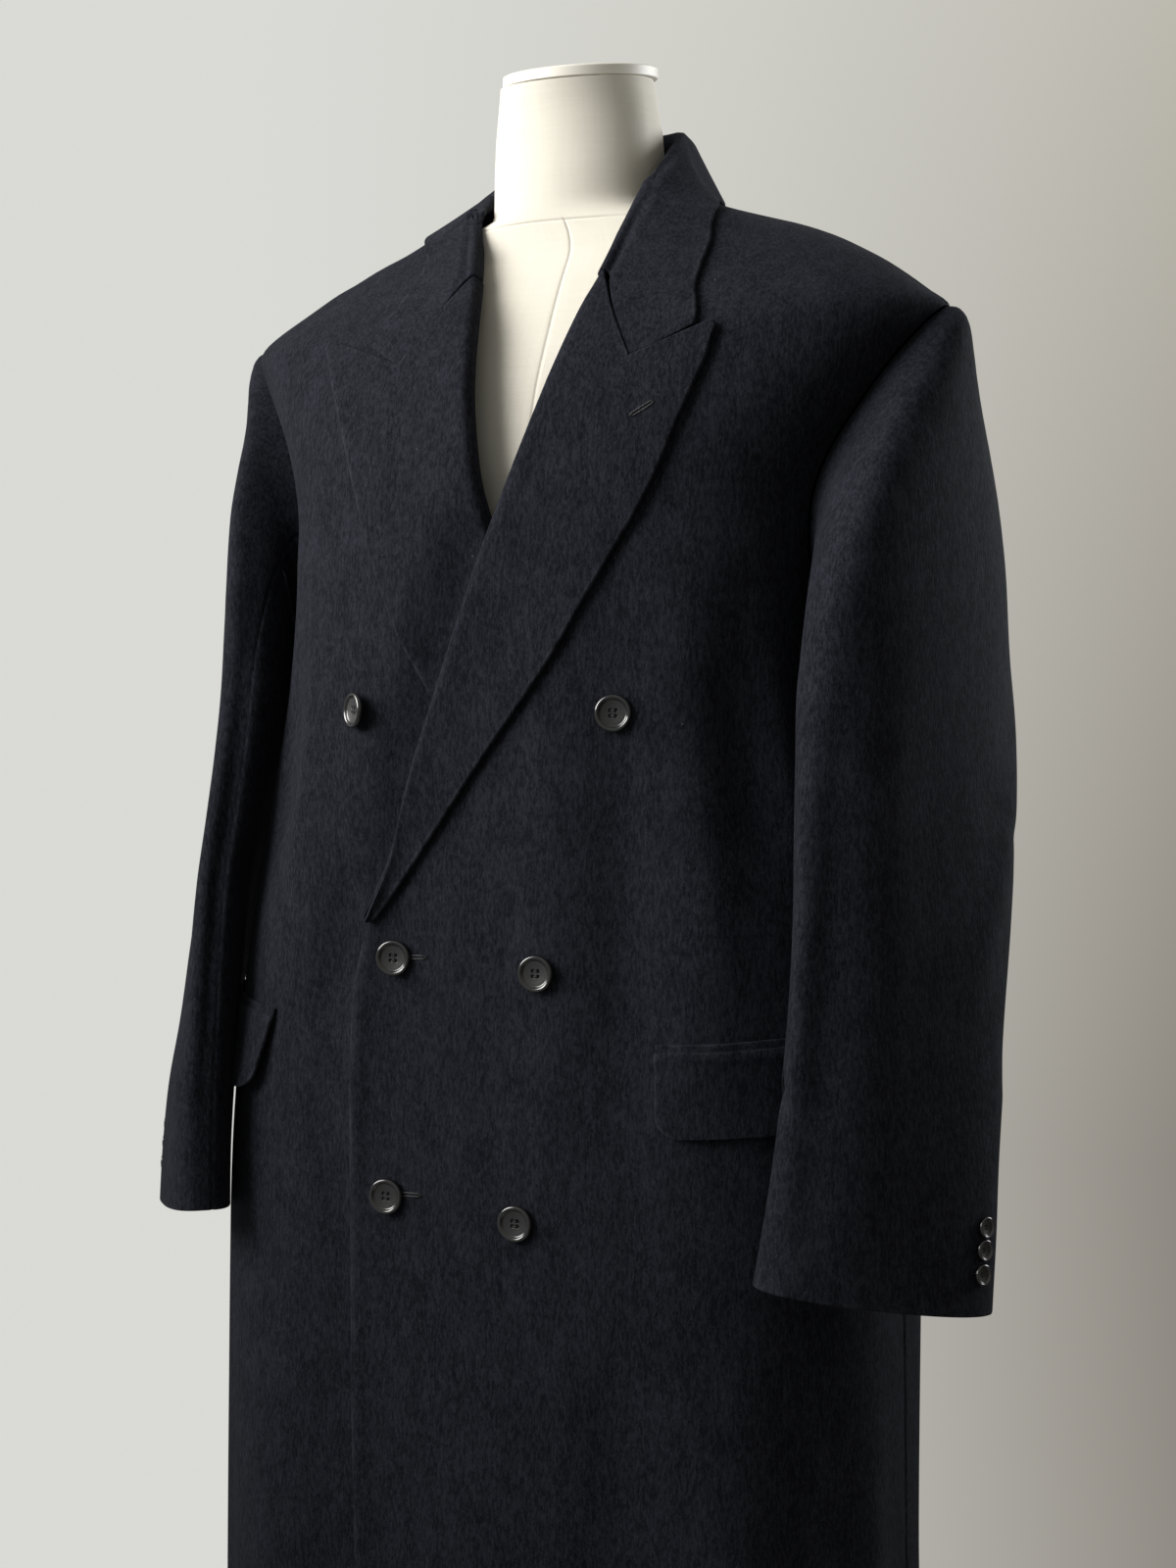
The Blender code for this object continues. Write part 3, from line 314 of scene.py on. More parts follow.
def sheet_skin(outer: Array, inner: Array, rim: Rim, steps: int = 3) -> Skin:
    """A closed sheet between two grids of points, with a rounded rim.

    Between the grids, the rim is a half circle about the sheet's middle, squeezed by
    the edge's roundness.

    Args:
        outer: Grid of the face side.
        inner: Grid of the other side, of the same shape.
        rim: How round each edge is.
        steps: Loops of points on the rim.

    Returns:
        The closed skin.
    """
    rows, columns = outer.shape[:2]
    count = rows * columns
    row, col, soft = rim.walk(rows, columns)
    top, under = outer[row, col], inner[row, col]
    near = (outer + inner)[np.clip(row, 1, rows - 2), np.clip(col, 1, columns - 2)] / 2
    middle = (top + under) / 2
    normal = unit(top - under)
    away = middle - near
    away = unit(away - normal * (away * normal).sum(axis=-1, keepdims=True))
    half = np.linalg.norm(top - under, axis=-1, keepdims=True) / 2
    angle = (np.pi * np.arange(1, steps + 1) / (steps + 1))[:, None, None]
    loops = middle + half * (normal * np.cos(angle) + away * soft[:, None] * np.sin(angle))
    points = np.concatenate([outer.reshape(-1, 3), inner.reshape(-1, 3), loops.reshape(-1, 3)])
    edge = row * columns + col
    ring = 2 * count + np.arange(steps * len(edge)).reshape(steps, -1)
    ring = np.concatenate([edge[None], ring, edge[None] + count])
    ahead = np.roll(ring, -1, axis=1)
    strip = np.stack([ahead[:-1], ring[:-1], ring[1:], ahead[1:]], axis=-1).reshape(-1, 4)
    quads = grid_quads(rows, columns)
    faces = [quads, quads[:, ::-1] + count, strip]
    middle_grid = (outer + inner) / 2
    flat = np.stack([run_along(middle_grid, 1), run_along(middle_grid, 0)], axis=-1).reshape(-1, 2)
    run, rise = flat[:, 0].reshape(rows, columns), flat[:, 1].reshape(rows, columns)
    # Painted edge highlight: its weight is highest at a rounded edge and fades within a few millimetres,
    # where the wool's edges would catch the light.
    reach = ((rim.start, run), (rim.end, run[:, -1:] - run), (rim.low, rise), (rim.high, rise[-1:] - rise))
    edge_highlight = np.max([soft**2 * bell(away, HIGHLIGHT_REACH) for soft, away in reach], axis=0).ravel()
    edge_highlight = np.concatenate([edge_highlight, edge_highlight, np.tile(edge_highlight[edge], steps)])
    flat = np.concatenate([flat, flat, np.tile(flat[edge], (steps, 1))])
    return Skin(points, faces, [flat[face] for face in faces], edge_highlight).facing_out()


def turned_skin(rings: Array, places: Optional[Array] = None) -> Skin:
    """A closed body through rings of points, with a fan at each end.

    Args:
        rings: (rings, points, 3), each ring closed on itself.
        places: (rings, points + 1, 2) places on the surface, or None for walked distances.

    Returns:
        The closed skin.
    """
    rows, columns = rings.shape[:2]
    if places is None:
        shut = np.concatenate([rings, rings[:, :1]], axis=1)
        places = np.stack([run_along(shut, 1), run_along(shut, 0)], axis=-1)
    points = np.concatenate([rings.reshape(-1, 3), rings[[0, -1]].mean(axis=1)])
    here = np.arange(columns)
    ahead = (here + 1) % columns
    top = (rows - 1) * columns
    bottom_fan = np.stack([np.full(columns, rows * columns), ahead, here], axis=-1)
    top_fan = np.stack([np.full(columns, rows * columns + 1), top + here, top + ahead], axis=-1)
    quads = grid_quads(rows, columns, wrap=True)
    flat = places.reshape(-1, 2)
    corners = flat[grid_quads(rows, columns + 1)]
    low = np.stack([places[0, :-1], places[0, 1:], places[0, :-1]], axis=1)
    high = np.stack([places[-1, :-1], places[-1, :-1], places[-1, 1:]], axis=1)
    return Skin(points, [quads, bottom_fan, top_fan], [corners, low, high]).facing_out()


def tube_skin(path: Array, side: Array, radius: Array, sides: int, closed: bool = False) -> Skin:
    """A round cord along a path.

    Args:
        path: Points that the cord follows.
        side: A direction at each point, square to the path.
        radius: The cord's radius at each point.
        sides: Corners of its section.
        closed: Whether the path joins itself.

    Returns:
        Rings of points at path + radius (side cos + other sin), as a closed skin.
    """
    if closed:
        ahead = np.roll(path, -1, axis=0) - np.roll(path, 1, axis=0)
    else:
        ahead = np.gradient(path, axis=0)
    other = unit(np.cross(ahead, side))
    turn = circle(sides)[:, None]
    loop = side[:, None] * np.cos(turn) + other[:, None] * np.sin(turn)
    rings = path[:, None] + loop * np.broadcast_to(radius, len(path))[:, None, None]
    if not closed:
        return turned_skin(rings)
    rows = len(path)
    quads = grid_quads(rows + 1, sides, wrap=True) % (rows * sides)
    flat = np.meshgrid(np.linspace(0, 0.006, sides + 1), np.linspace(0, 0.06, rows + 1))
    places = np.stack(flat, axis=-1).reshape(-1, 2)[grid_quads(rows + 1, sides + 1)]
    return Skin(rings.reshape(-1, 3), [quads], [places]).facing_out()


def turned_profile(profile: Table, rows: int, sides: int) -> tuple[Array, Array, Array]:
    """A lathe section of (outwards, upwards) places as smooth columns, and the turns round it."""
    spots = np.arange(len(profile), dtype=float)
    at = np.linspace(0, len(profile) - 1, rows)
    out, up = (smooth(at, spots, np.array(profile)[:, k])[:, None] for k in (0, 1))
    return out, up, circle(sides)


def new_object(name: str, data: bpy.types.ID) -> Piece:
    """Adds an object to the scene."""
    made = bpy.data.objects.new(name, data)
    bpy.context.scene.collection.objects.link(made)
    return made


def add_piece(name: str, skin: Skin, material: Material, slot: Slot, *nodes: str) -> Piece:
    """Adds a piece to the scene and hands it to the frame.

    Args:
        name: The piece's name.
        skin: Its mesh.
        material: Its finish.
        slot: The record's slot that the finish stands for; not used.
        nodes: CAD nodes that it stands for.

    Returns:
        The new object, at the origin.
    """
    mesh = bpy.data.meshes.new(name)
    mesh.from_pydata(skin.points.tolist(), [], [quad for face in skin.faces for quad in face.tolist()])
    layer = mesh.uv_layers.new(name="cloth")
    flat = np.concatenate([place.reshape(-1, 2) for place in skin.places]).astype(np.float32)
    layer.data.foreach_set("uv", flat.ravel())
    # The painted edge highlight's weights, kept as a point attribute that the wool reads.
    if skin.edge_highlight is not None:
        painted_highlight = mesh.attributes.new("edge_highlight", "FLOAT", "POINT")
        painted_highlight.data.foreach_set("value", skin.edge_highlight.astype(np.float32))
    mesh.shade_smooth()
    mesh.set_sharp_from_angle(angle=math.radians(CRISP))
    mesh.materials.append(material)
    piece = new_object(name, mesh)
    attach(piece, "root")
    if nodes:
        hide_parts(*nodes)
    LOG.info("%s: %d faces, half area %.4f m2", name, len(mesh.polygons), skin.half_area())
    return piece


@dataclass(frozen=True)
class Cut:
    """A sheet's flat cut: width and length in metres, and its area where not a rectangle."""

    width: float
    length: float
    area: float
    held: Held

    def declare(self, piece: Piece, *rests_on: str) -> None:
        """Takes a piece of this cut and those that it lies on or hangs from, and does nothing with them."""


# ---- shaders

Value = Union["Socket", float, Sequence[float]]


def operation(name: str, flipped: bool = False) -> Callable[..., "Socket"]:
    """An arithmetic method of a socket, which adds one Math node.

    Args:
        name: The node's operation.
        flipped: Whether the other value comes first.

    Returns:
        The method.
    """
    def method(self: "Socket", other: Value = 0.0) -> "Socket":
        """The Math node's result for the socket and another value."""
        pair = (other, self) if flipped else (self, other)
        return self.nodes.node("Math", {"operation": name}, dict(enumerate(pair)))

    return method


class Socket:
    """A shader value; arithmetic on it adds Math nodes."""

    __add__ = __radd__ = operation("ADD")
    __sub__, __rsub__ = operation("SUBTRACT"), operation("SUBTRACT", flipped=True)
    __mul__ = __rmul__ = operation("MULTIPLY")
    __truediv__, __pow__ = operation("DIVIDE"), operation("POWER")
    sine, at_most, at_least = operation("SINE"), operation("MINIMUM"), operation("MAXIMUM")

    def __init__(self, nodes: "Nodes", link: bpy.types.NodeSocket) -> None:
        """Wraps a node's output."""
        self.nodes, self.link = nodes, link

    def stepped(self, low: float, high: float) -> "Socket":
        """Softly rising step from 0 at low to 1 at high."""
        settings = {"interpolation_type": "SMOOTHSTEP"}
        inputs = {"Value": self, "From Min": low, "From Max": high}
        return self.nodes.node("MapRange", settings, inputs)


class Nodes:
    """A node tree that is filled through expressions."""

    def __init__(self, tree: bpy.types.NodeTree) -> None:
        """Wraps a node tree."""
        self.tree = tree

    def node(self, kind: str, settings: dict[str, Any], inputs: dict[Union[int, str], Value],
             output: Union[int, str] = 0) -> Socket:
        """Adds a node.

        Args:
            kind: The node's type, without its prefix.
            settings: Its own settings, which are set first.
            inputs: Values or links of its sockets.
            output: Which output is wanted.

        Returns:
            That output.
        """
        made = self.tree.nodes.new("ShaderNode" + kind)
        for key, value in settings.items():
            setattr(made, key, value)
        for key, value in inputs.items():
            if isinstance(value, Socket):
                self.tree.links.new(value.link, made.inputs[key])
            else:
                made.inputs[key].default_value = value
        return Socket(self, made.outputs[output])

    def coordinates(self, name: str = "Object", scale: Row = (1.0, 1.0, 1.0)) -> Socket:
        """Object or UV coordinates, stretched by a scale."""
        place = self.node("TexCoord", {}, {}, name)
        return self.node("Mapping", {}, {"Vector": place, "Scale": scale})

    def noise(self, at: Socket, scale: float, detail: float = 2.0, rough: float = 0.5) -> Socket:
        """Soft noise, from 0 to 1."""
        inputs = {"Vector": at, "Scale": scale, "Detail": detail, "Roughness": rough}
        return self.node("TexNoise", {}, inputs, "Fac")

    def parts(self, vector: Socket) -> tuple[Socket, Socket, Socket]:
        """The three numbers of a vector."""
        made = self.node("SeparateXYZ", {}, {0: vector})
        return tuple(Socket(self, output) for output in made.link.node.outputs)

    def blend(self, share: Value, first: Value, second: Value, mode: str = "MIX") -> Socket:
        """Two colours mixed by a share."""
        settings = {"data_type": "RGBA", "blend_type": mode, "clamp_factor": True}
        first, second = (v if isinstance(v, Socket) else (*v, 1.0) for v in (first, second))
        return self.node("Mix", settings, {0: share, 6: first, 7: second}, 2)

    def bump(self, height: Socket, distance: float, strength: float = 1.0) -> Socket:
        """A normal that follows a height, in metres of relief."""
        return self.node("Bump", {}, {"Height": height, "Distance": distance, "Strength": strength})


class Shader(Nodes):
    """A material's nodes with their Principled shader."""

    def __init__(self, name: str, **constants: Any) -> None:
        """Makes a material.

        Args:
            name: The material's name.
            constants: Values for the shader's own sockets, with _ for a space.
        """
        self.material = bpy.data.materials.new(name)
        self.material.use_nodes = True
        super().__init__(self.material.node_tree)
        self.principled = self.tree.nodes["Principled BSDF"]
        for socket, value in constants.items():
            self.principled.inputs[socket.replace("_", " ")].default_value = value

    def surface(self, **sockets: Socket) -> Material:
        """Links values to the shader's sockets and gives the material."""
        for name, value in sockets.items():
            self.tree.links.new(value.link, self.principled.inputs[name.replace("_", " ")])
        return self.material


@dataclass(frozen=True)
class WoolFinish:
    """Felted melton: a brushed nap over a dense cloth, with stray pale fibres, and painted highlights on
    scattered fibres and along edges.
    """

    deep: Colour = (0.0048, 0.0053, 0.008)
    raised: Colour = (0.022, 0.0236, 0.0318)
    # Pale tone of the painted highlights, on glinting fibres and along edges.
    painted_highlight: Colour = (0.046, 0.048, 0.058)
    lint: Colour = (0.16, 0.16, 0.165)
    lint_cells: float = 46.0
    relief: float = 0.0008
    nap: float = 0.32
    cloud_scale: float = 26.0
    patch_scale: float = 95.0
    felt_scale: float = 520.0
    fibre_scale: float = 1700.0

    def build(self) -> Material:
        """Makes the material; its noises are drawn out along the nap, which runs up the cloth."""
        shader = Shader("brushed_wool", Sheen_Weight=0.03, Sheen_Roughness=0.36, Specular_IOR_Level=0.05,
                        Sheen_Tint=(0.8, 0.86, 1.0, 1.0))
        at = shader.coordinates()
        brushed = shader.coordinates("Object", (1.0, 1.0, self.nap))
        cloud = shader.noise(at, self.cloud_scale, 4.0, 0.62)
        patch = shader.noise(brushed, self.patch_scale, 4.0, 0.65)
        felt = shader.noise(brushed, self.felt_scale, 4.0, 0.7)
        fibre = shader.noise(brushed, self.fibre_scale, 3.0, 0.75)
        tone = cloud.stepped(0.3, 0.72) * 0.16 + patch.stepped(0.32, 0.7) * 0.24
        tone = tone + felt.stepped(0.36, 0.66) * 0.62
        tone = tone + (fibre.stepped(0.4, 0.7) * 0.55 - 0.22)
        colour = shader.blend(tone, self.deep, self.raised)
        # Painted highlight: scattered fibre tips lightened as if they caught the light.
        glint = fibre.stepped(0.6, 0.76) * felt.stepped(0.5, 0.7)
        colour = shader.blend(glint * 0.75, colour, self.painted_highlight)
        # Painted highlight along edges, weighted by the edge attribute and broken up by the nap.
        edge_highlight = shader.node("Attribute", {"attribute_name": "edge_highlight"}, {}, "Fac")
        colour = shader.blend(edge_highlight * patch.stepped(0.4, 0.66) * (0.1 + felt * 0.35), colour, self.painted_highlight)
        bent = shader.node("VectorMath", {"operation": "MULTIPLY_ADD"},
                           {0: shader.node("TexNoise", {}, {"Vector": at, "Scale": 140.0}, "Color"),
                            1: (0.005, 0.005, 0.005), 2: at})
        cells = {"Vector": bent, "Scale": self.lint_cells}
        cell = shader.node("TexVoronoi", {}, cells, "Distance")
        chosen = shader.node("TexVoronoi", {}, cells, "Color")
        picked = shader.parts(chosen)[0].stepped(0.8, 0.82)
        speck = (1.0 - cell.stepped(0.012, 0.034)) * picked
        colour = shader.blend(speck * 0.55, colour, self.lint)
        height = felt * 0.75 + fibre * 0.55 + patch * 0.9 + speck * 0.5
        return shader.surface(Base_Color=colour, Roughness=0.97 - felt * 0.16,
                              Normal=shader.bump(height, self.relief, 0.85))


@dataclass(frozen=True)
class ThreadFinish:
    """Black twisted silk thread, packed in stitches."""

    dark: Colour = (0.006, 0.006, 0.008)
    light: Colour = (0.03, 0.031, 0.036)
    twist: float = 2600.0

    def build(self) -> Material:
        """Makes the material."""
        shader = Shader("black_thread", Sheen_Weight=0.15, Specular_IOR_Level=0.4)
        u, v, _ = shader.parts(shader.coordinates("UV"))
        ply = ((u * 0.6 + v) * (math.pi * self.twist)).sine() * 0.5 + 0.5
        dust = shader.noise(shader.coordinates(), 900.0, 2.0)
        colour = shader.blend(ply * 0.55 + dust * 0.3, self.dark, self.light)
        return shader.surface(Base_Color=colour, Roughness=0.62 - ply * 0.2,
                              Normal=shader.bump(ply + dust * 0.4, 0.00012, 0.8))


@dataclass(frozen=True)
class ButtonFinish:
    """Black cast button: polished rim, satin turned middle, faint handling marks."""

    base: Colour = (0.0055, 0.0055, 0.0062)
    pale: Colour = (0.016, 0.016, 0.018)
    middle_share: float = 0.7

    def build(self) -> Material:
        """Makes the material, which reads a button's radius share as U."""
        shader = Shader("black_button_polish", Specular_IOR_Level=0.62, Coat_Roughness=0.06)
        share, _, _ = shader.parts(shader.coordinates("UV"))
        at = shader.coordinates()
        cloud = shader.noise(at, 260.0, 4.0, 0.6)
        scratch = shader.noise(shader.coordinates("Object", (1.0, 1.0, 6.0)), 900.0, 3.0, 0.7)
        scratch = scratch.stepped(0.58, 0.66)
        satin = 1.0 - share.stepped(self.middle_share - 0.06, self.middle_share + 0.03)
        ring = (share * 150.0).sine() * 0.5 + 0.5
        colour = shader.blend(cloud * 0.5 + satin * 0.45, self.base, self.pale)
        rough = satin * 0.26 + cloud * 0.08 + scratch * 0.1 + 0.1
        relief = ring * satin * 0.6 + cloud * 0.4 - scratch * 0.3
        return shader.surface(Base_Color=colour, Roughness=rough, Coat_Weight=(1.0 - satin) * 0.85,
                              Normal=shader.bump(relief, 0.00005, 0.55))


@dataclass(frozen=True)
class LinenFinish:
    """Ivory plain-weave linen with thick and thin yarns and a few darker neps."""

    pale: Colour = (0.65, 0.622, 0.558)
    deep: Colour = (0.555, 0.524, 0.452)
    thread: float = 0.00078
    slub_scale: float = 420.0

    def build(self) -> Material:
        """Makes the material, whose U and V are metres along the cloth."""
        shader = Shader("ivory_linen", Sheen_Weight=0.08, Specular_IOR_Level=0.25)
        warp_way = shader.coordinates("UV", (1.0, 0.05, 1.0))
        weft_way = shader.coordinates("UV", (0.05, 1.0, 1.0))
        u, v, _ = shader.parts(shader.coordinates("UV"))
        turns = math.pi / self.thread
        drift = shader.noise(shader.coordinates("UV"), 60.0, 2.0) * 1.6
        warp = (u * turns + drift).sine()
        weft = (v * turns + drift).sine()
        weave = warp * weft * 0.5 + 0.5
        slub = shader.noise(warp_way, self.slub_scale, 3.0, 0.6) * 0.5
        slub = slub + shader.noise(weft_way, self.slub_scale, 3.0, 0.6) * 0.5
        cloud = shader.noise(shader.coordinates(), 9.0, 4.0, 0.6)
        nep = shader.noise(shader.coordinates("UV", (1.0, 0.35, 1.0)), 330.0, 2.0, 0.6).stepped(0.66, 0.74)
        tone = slub.stepped(0.3, 0.7) * 0.34 + weave * 0.2 + cloud.stepped(0.35, 0.7) * 0.2 + 0.16
        colour = shader.blend(tone, self.deep, self.pale)
        colour = shader.blend(nep * 0.25, colour, (0.6, 0.55, 0.45))
        height = weave * 0.6 + slub * 1.0
        return shader.surface(Base_Color=colour, Roughness=0.9 - slub * 0.12,
                              Normal=shader.bump(height, 0.00028, 0.75))


@dataclass(frozen=True)
class EnamelFinish:
    """Satin enamel on spun metal, with fine orange peel, cloudy tone and small chips scattered at random."""

    name: str
    pale: Colour
    dim: Colour
    roughness: float
    metallic: float = 0.0
    lathe: float = 1400.0

    def build(self) -> Material:
        """Makes the material."""
        shader = Shader(self.name, Metallic=self.metallic, Specular_IOR_Level=0.45)
        at = shader.coordinates()
        peel = shader.noise(at, 620.0, 3.0, 0.55)
        cloud = shader.noise(at, 14.0, 5.0, 0.62)
        turned = shader.noise(shader.coordinates("UV", (0.02, 1.0, 1.0)), self.lathe, 2.0, 0.6)
        chip = shader.noise(at, 240.0, 4.0, 0.7).stepped(0.71, 0.75)
        colour = shader.blend(cloud.stepped(0.3, 0.72) * 0.75 + turned * 0.2, self.dim, self.pale)
        colour = shader.blend(chip * 0.4, colour, (0.3, 0.28, 0.24))
        rough = cloud * 0.14 + turned * 0.1 + (self.roughness - 0.1)
        return shader.surface(Base_Color=colour, Roughness=rough,
                              Normal=shader.bump(peel * 0.6 + turned * 0.5 - chip, 0.0001, 0.6))


@dataclass(frozen=True)
class FloorFinish:
    """Pale matt floor that fades away at its edge."""

    tone: Colour = (0.52, 0.515, 0.5)
    fade_from: float = 0.55
    fade_to: float = 1.12

    def build(self) -> Material:
        """Makes the material; its factor rises with the distance from the middle."""
        shader = Shader("pale_floor", Roughness=0.85)
        at = shader.coordinates()
        distance = shader.node("VectorMath", {"operation": "LENGTH"}, {0: at}, "Value")
        cloud = shader.noise(at, 3.0, 5.0, 0.6)
        dark = tuple(0.86 * part for part in self.tone)
        colour = shader.blend(cloud, dark, self.tone)
        shader.surface(Base_Color=colour, Normal=shader.bump(shader.noise(at, 300.0), 0.0002, 0.5))
        clear = shader.node("BsdfTransparent", {}, {})
        solid = Socket(shader, shader.principled.outputs[0])
        fade = distance.stepped(self.fade_from, self.fade_to)
        mixed = shader.node("MixShader", {}, {0: fade, 1: solid, 2: clear})
        shader.tree.links.new(mixed.link, shader.tree.nodes["Material Output"].inputs["Surface"])
        return shader.material


# ---- the coat's form


@dataclass(frozen=True)
class Fold:
    """A long soft fold of the hanging cloth.

    Its section is a bell about its crest, exp(-(distance / width) squared).  The crest
    runs straight from its low place to its high one, and the fold wavers in depth.
    """

    place: float
    width: float
    depth: float
    low: float
    high: float
    lean: float = 0.0
    waver: float = 0.2

    def push(self, around: Array, height: Array, hem: float) -> Array:
        """Its push outwards in metres; at the hem it starts at its full depth."""
        share = np.clip((height - self.low) / (self.high - self.low), 0.0, 1.0)
        away = (around - self.place - self.lean * share + 2.0) % 4.0 - 2.0
        fade = 1.0 - ease(share, 0.5, 1.0)
        if self.low > hem:
            fade = fade * ease(share, 0.0, 0.4)
        uneven = 1.0 + self.waver * np.sin(height * 17.0 + self.place * 9.0)
        return self.depth * bell(away, self.width) * fade * uneven


@dataclass(frozen=True)
class CoatBody:
    """The outer surface of the coat's body.

    Its level sections are ellipses pushed out to a squareness.  Places round it run from
    0 at the centre front over 1 at the left side to 2 at the centre back, and back over
    -1 at the right side.  Columns of sections: height, middle, half width, front depth,
    back depth, squareness.
    """

    sections: Table = (
        (0.285, -0.01, 0.278, 0.166, 0.172, 2.5), (0.53, -0.009, 0.272, 0.161, 0.165, 2.6),
        (0.79, -0.007, 0.265, 0.157, 0.155, 2.7), (0.97, -0.002, 0.252, 0.152, 0.146, 2.8),
        (1.045, 0.0, 0.239, 0.15, 0.141, 2.8), (1.12, 0.001, 0.224, 0.149, 0.138, 2.8),
        (1.19, 0.002, 0.212, 0.147, 0.138, 2.8), (1.275, 0.004, 0.207, 0.144, 0.14, 2.8),
        (1.315, 0.004, 0.209, 0.14, 0.139, 2.7), (1.345, 0.005, 0.216, 0.136, 0.137, 2.7),
        (1.391, 0.007, 0.239, 0.126, 0.131, 2.6), (1.415, 0.007, 0.253, 0.117, 0.125, 2.5),
        (1.435, 0.008, 0.266, 0.107, 0.119, 2.4), (1.448, 0.008, 0.275, 0.099, 0.115, 2.4),
        (1.462, 0.008, 0.258, 0.088, 0.111, 2.3), (1.48, 0.008, 0.233, 0.073, 0.106, 2.2),
        (1.492, 0.007, 0.213, 0.063, 0.102, 2.2), (1.501, 0.006, 0.196, 0.056, 0.099, 2.1),
        (1.509, 0.004, 0.177, 0.052, 0.097, 2.1), (1.517, 0.003, 0.15, 0.05, 0.095, 2.0),
        (1.527, 0.001, 0.118, 0.048, 0.093, 2.0), (1.54, 0.0, 0.09, 0.046, 0.09, 2.0),
    )
    hem: float = 0.285
    neck: float = 1.535
    break_height: float = 1.022
    folds: tuple[Fold, ...] = (
        Fold(-0.62, 0.085, -0.006, 0.285, 0.88, 0.03), Fold(-0.36, 0.075, 0.006, 0.285, 0.82, -0.02),
        Fold(0.06, 0.07, 0.005, 0.285, 0.78), Fold(0.27, 0.065, -0.007, 0.285, 0.86, 0.02),
        Fold(0.47, 0.07, 0.006, 0.285, 0.84), Fold(0.62, 0.055, -0.006, 0.285, 0.86, -0.02),
        Fold(0.8, 0.07, 0.006, 0.285, 0.78), Fold(1.22, 0.08, -0.007, 0.285, 0.86, 0.03),
        Fold(1.46, 0.08, 0.006, 0.285, 0.9), Fold(1.72, 0.08, -0.006, 0.285, 0.84, -0.03),
        Fold(-1.24, 0.08, 0.006, 0.285, 0.86, 0.02), Fold(-1.5, 0.08, -0.007, 0.285, 0.9),
        Fold(-1.76, 0.08, 0.006, 0.285, 0.82, 0.03), Fold(0.56, 0.07, -0.007, 1.02, 1.29, 0.0, 0.1),
        Fold(-0.54, 0.07, -0.006, 1.0, 1.28, 0.0, 0.1), Fold(-0.21, 0.036, 0.0034, 0.78, 1.24),
        Fold(-0.3, 0.036, -0.003, 0.8, 1.22), Fold(0.15, 0.05, 0.0034, 0.78, 1.26, 0.01),
        Fold(0.29, 0.055, -0.006, 0.76, 1.36, 0.02), Fold(0.43, 0.05, 0.0038, 0.86, 1.33, 0.03),
        Fold(-0.4, 0.04, 0.003, 0.98, 1.3, -0.04, 0.3), Fold(-0.74, 0.045, 0.003, 0.9, 1.23, 0.06, 0.3),
        Fold(0.7, 0.045, 0.003, 0.9, 1.23, -0.06, 0.3), Fold(1.36, 0.06, 0.004, 0.93, 1.34, 0.06, 0.3),
        Fold(1.62, 0.05, -0.0035, 1.0, 1.38, 0.04, 0.3),
        Fold(-1.34, 0.06, 0.0042, 0.93, 1.33, -0.07, 0.3),
        Fold(-1.6, 0.05, -0.0035, 1.02, 1.39, -0.04, 0.3), Fold(1.9, 0.05, 0.003, 0.94, 1.3, 0.0, 0.3),
        Fold(0.16, 0.04, 0.0022, 0.285, 0.64, -0.03, 0.4),
        Fold(-0.16, 0.045, -0.0026, 0.285, 0.7, 0.03, 0.4),
    )
    shoulder_drop: float = 0.0125
    drop_from: float = 1.36
    drop_full: float = 1.5
    tip_reach: float = 0.15
    softness: float = 0.016
    left_edge: Table = (
        (0.285, -0.087), (0.577, -0.0905), (0.72, -0.094), (0.9, -0.095), (0.975, -0.0925),
        (1.022, -0.083), (1.077, -0.059), (1.127, -0.045), (1.207, -0.017), (1.277, 0.0085),
        (1.358, 0.0385), (1.396, 0.051), (1.43, 0.06), (1.47, 0.068), (1.5, 0.07),
        (1.535, 0.079),
    )
    right_edge: Table = (
        (0.285, 0.07), (0.72, 0.074), (0.975, 0.078), (1.022, 0.079), (1.127, 0.058),
        (1.207, 0.034), (1.282, 0.0105), (1.307, 0.0035), (1.344, -0.005), (1.377, -0.012),
        (1.41, -0.018), (1.443, -0.025), (1.474, -0.036), (1.5, -0.048), (1.535, -0.064),
    )
    lap_gap: float = 0.003
    lap_depth: float = 0.0116
    lap_ease: float = 0.05
    lap_margin: float = 0.006
    lap_rise: float = 0.1
    lap_end: Span = (1.285, 1.345)
    hole_top: float = 1.448
    hole_low: float = 1.222
    front_reach: float = 0.21
    front_scoop: float = 0.08
    front_curve: float = 1.8
    back_reach: float = 0.12
    back_scoop: float = 0.14
    back_curve: float = 1.5
    probe: float = 0.002
    halvings: int = 26

    def drop(self, around: Array, height: Array) -> Array:
        """How much lower the right shoulder hangs at a place."""
        rightward = np.clip(-np.sin(around * np.pi / 2), 0.0, 1.0) ** 2
        return self.shoulder_drop * rightward * ease(height, self.drop_from, self.drop_full)

    def point(self, around: Number, height: Number) -> Array:
        """Points on the outer surface.

        Args:
            around: Places round the body.
            height: Heights.

        Returns:
            Width sin and depth cos of the turn, both pushed out by
            (|sin|^n + |cos|^n) ^ (-1 / n) for the squareness n, at the height.
        """
        around, height = np.broadcast_arrays(np.asarray(around, float), np.asarray(height, float))
        middle, crisp, front, back, square = (column(self.sections, k, height) for k in range(1, 6))
        soft = column(self.sections, 2, height, self.softness)
        tip = bell(np.abs((around + 2) % 4 - 2) - 1, self.tip_reach)
        width = soft + (crisp - soft) * tip
        fold = sum(part.push(around, height, self.hem) for part in self.folds)
        turn = around * np.pi / 2
        depth = np.where(np.cos(turn) > 0, front, back) + fold
        push = bulge(turn, square)
        side = (width + fold) * np.sin(turn) * push + middle
        return np.stack([side, -depth * np.cos(turn) * push, height - self.drop(around, height)], axis=-1)

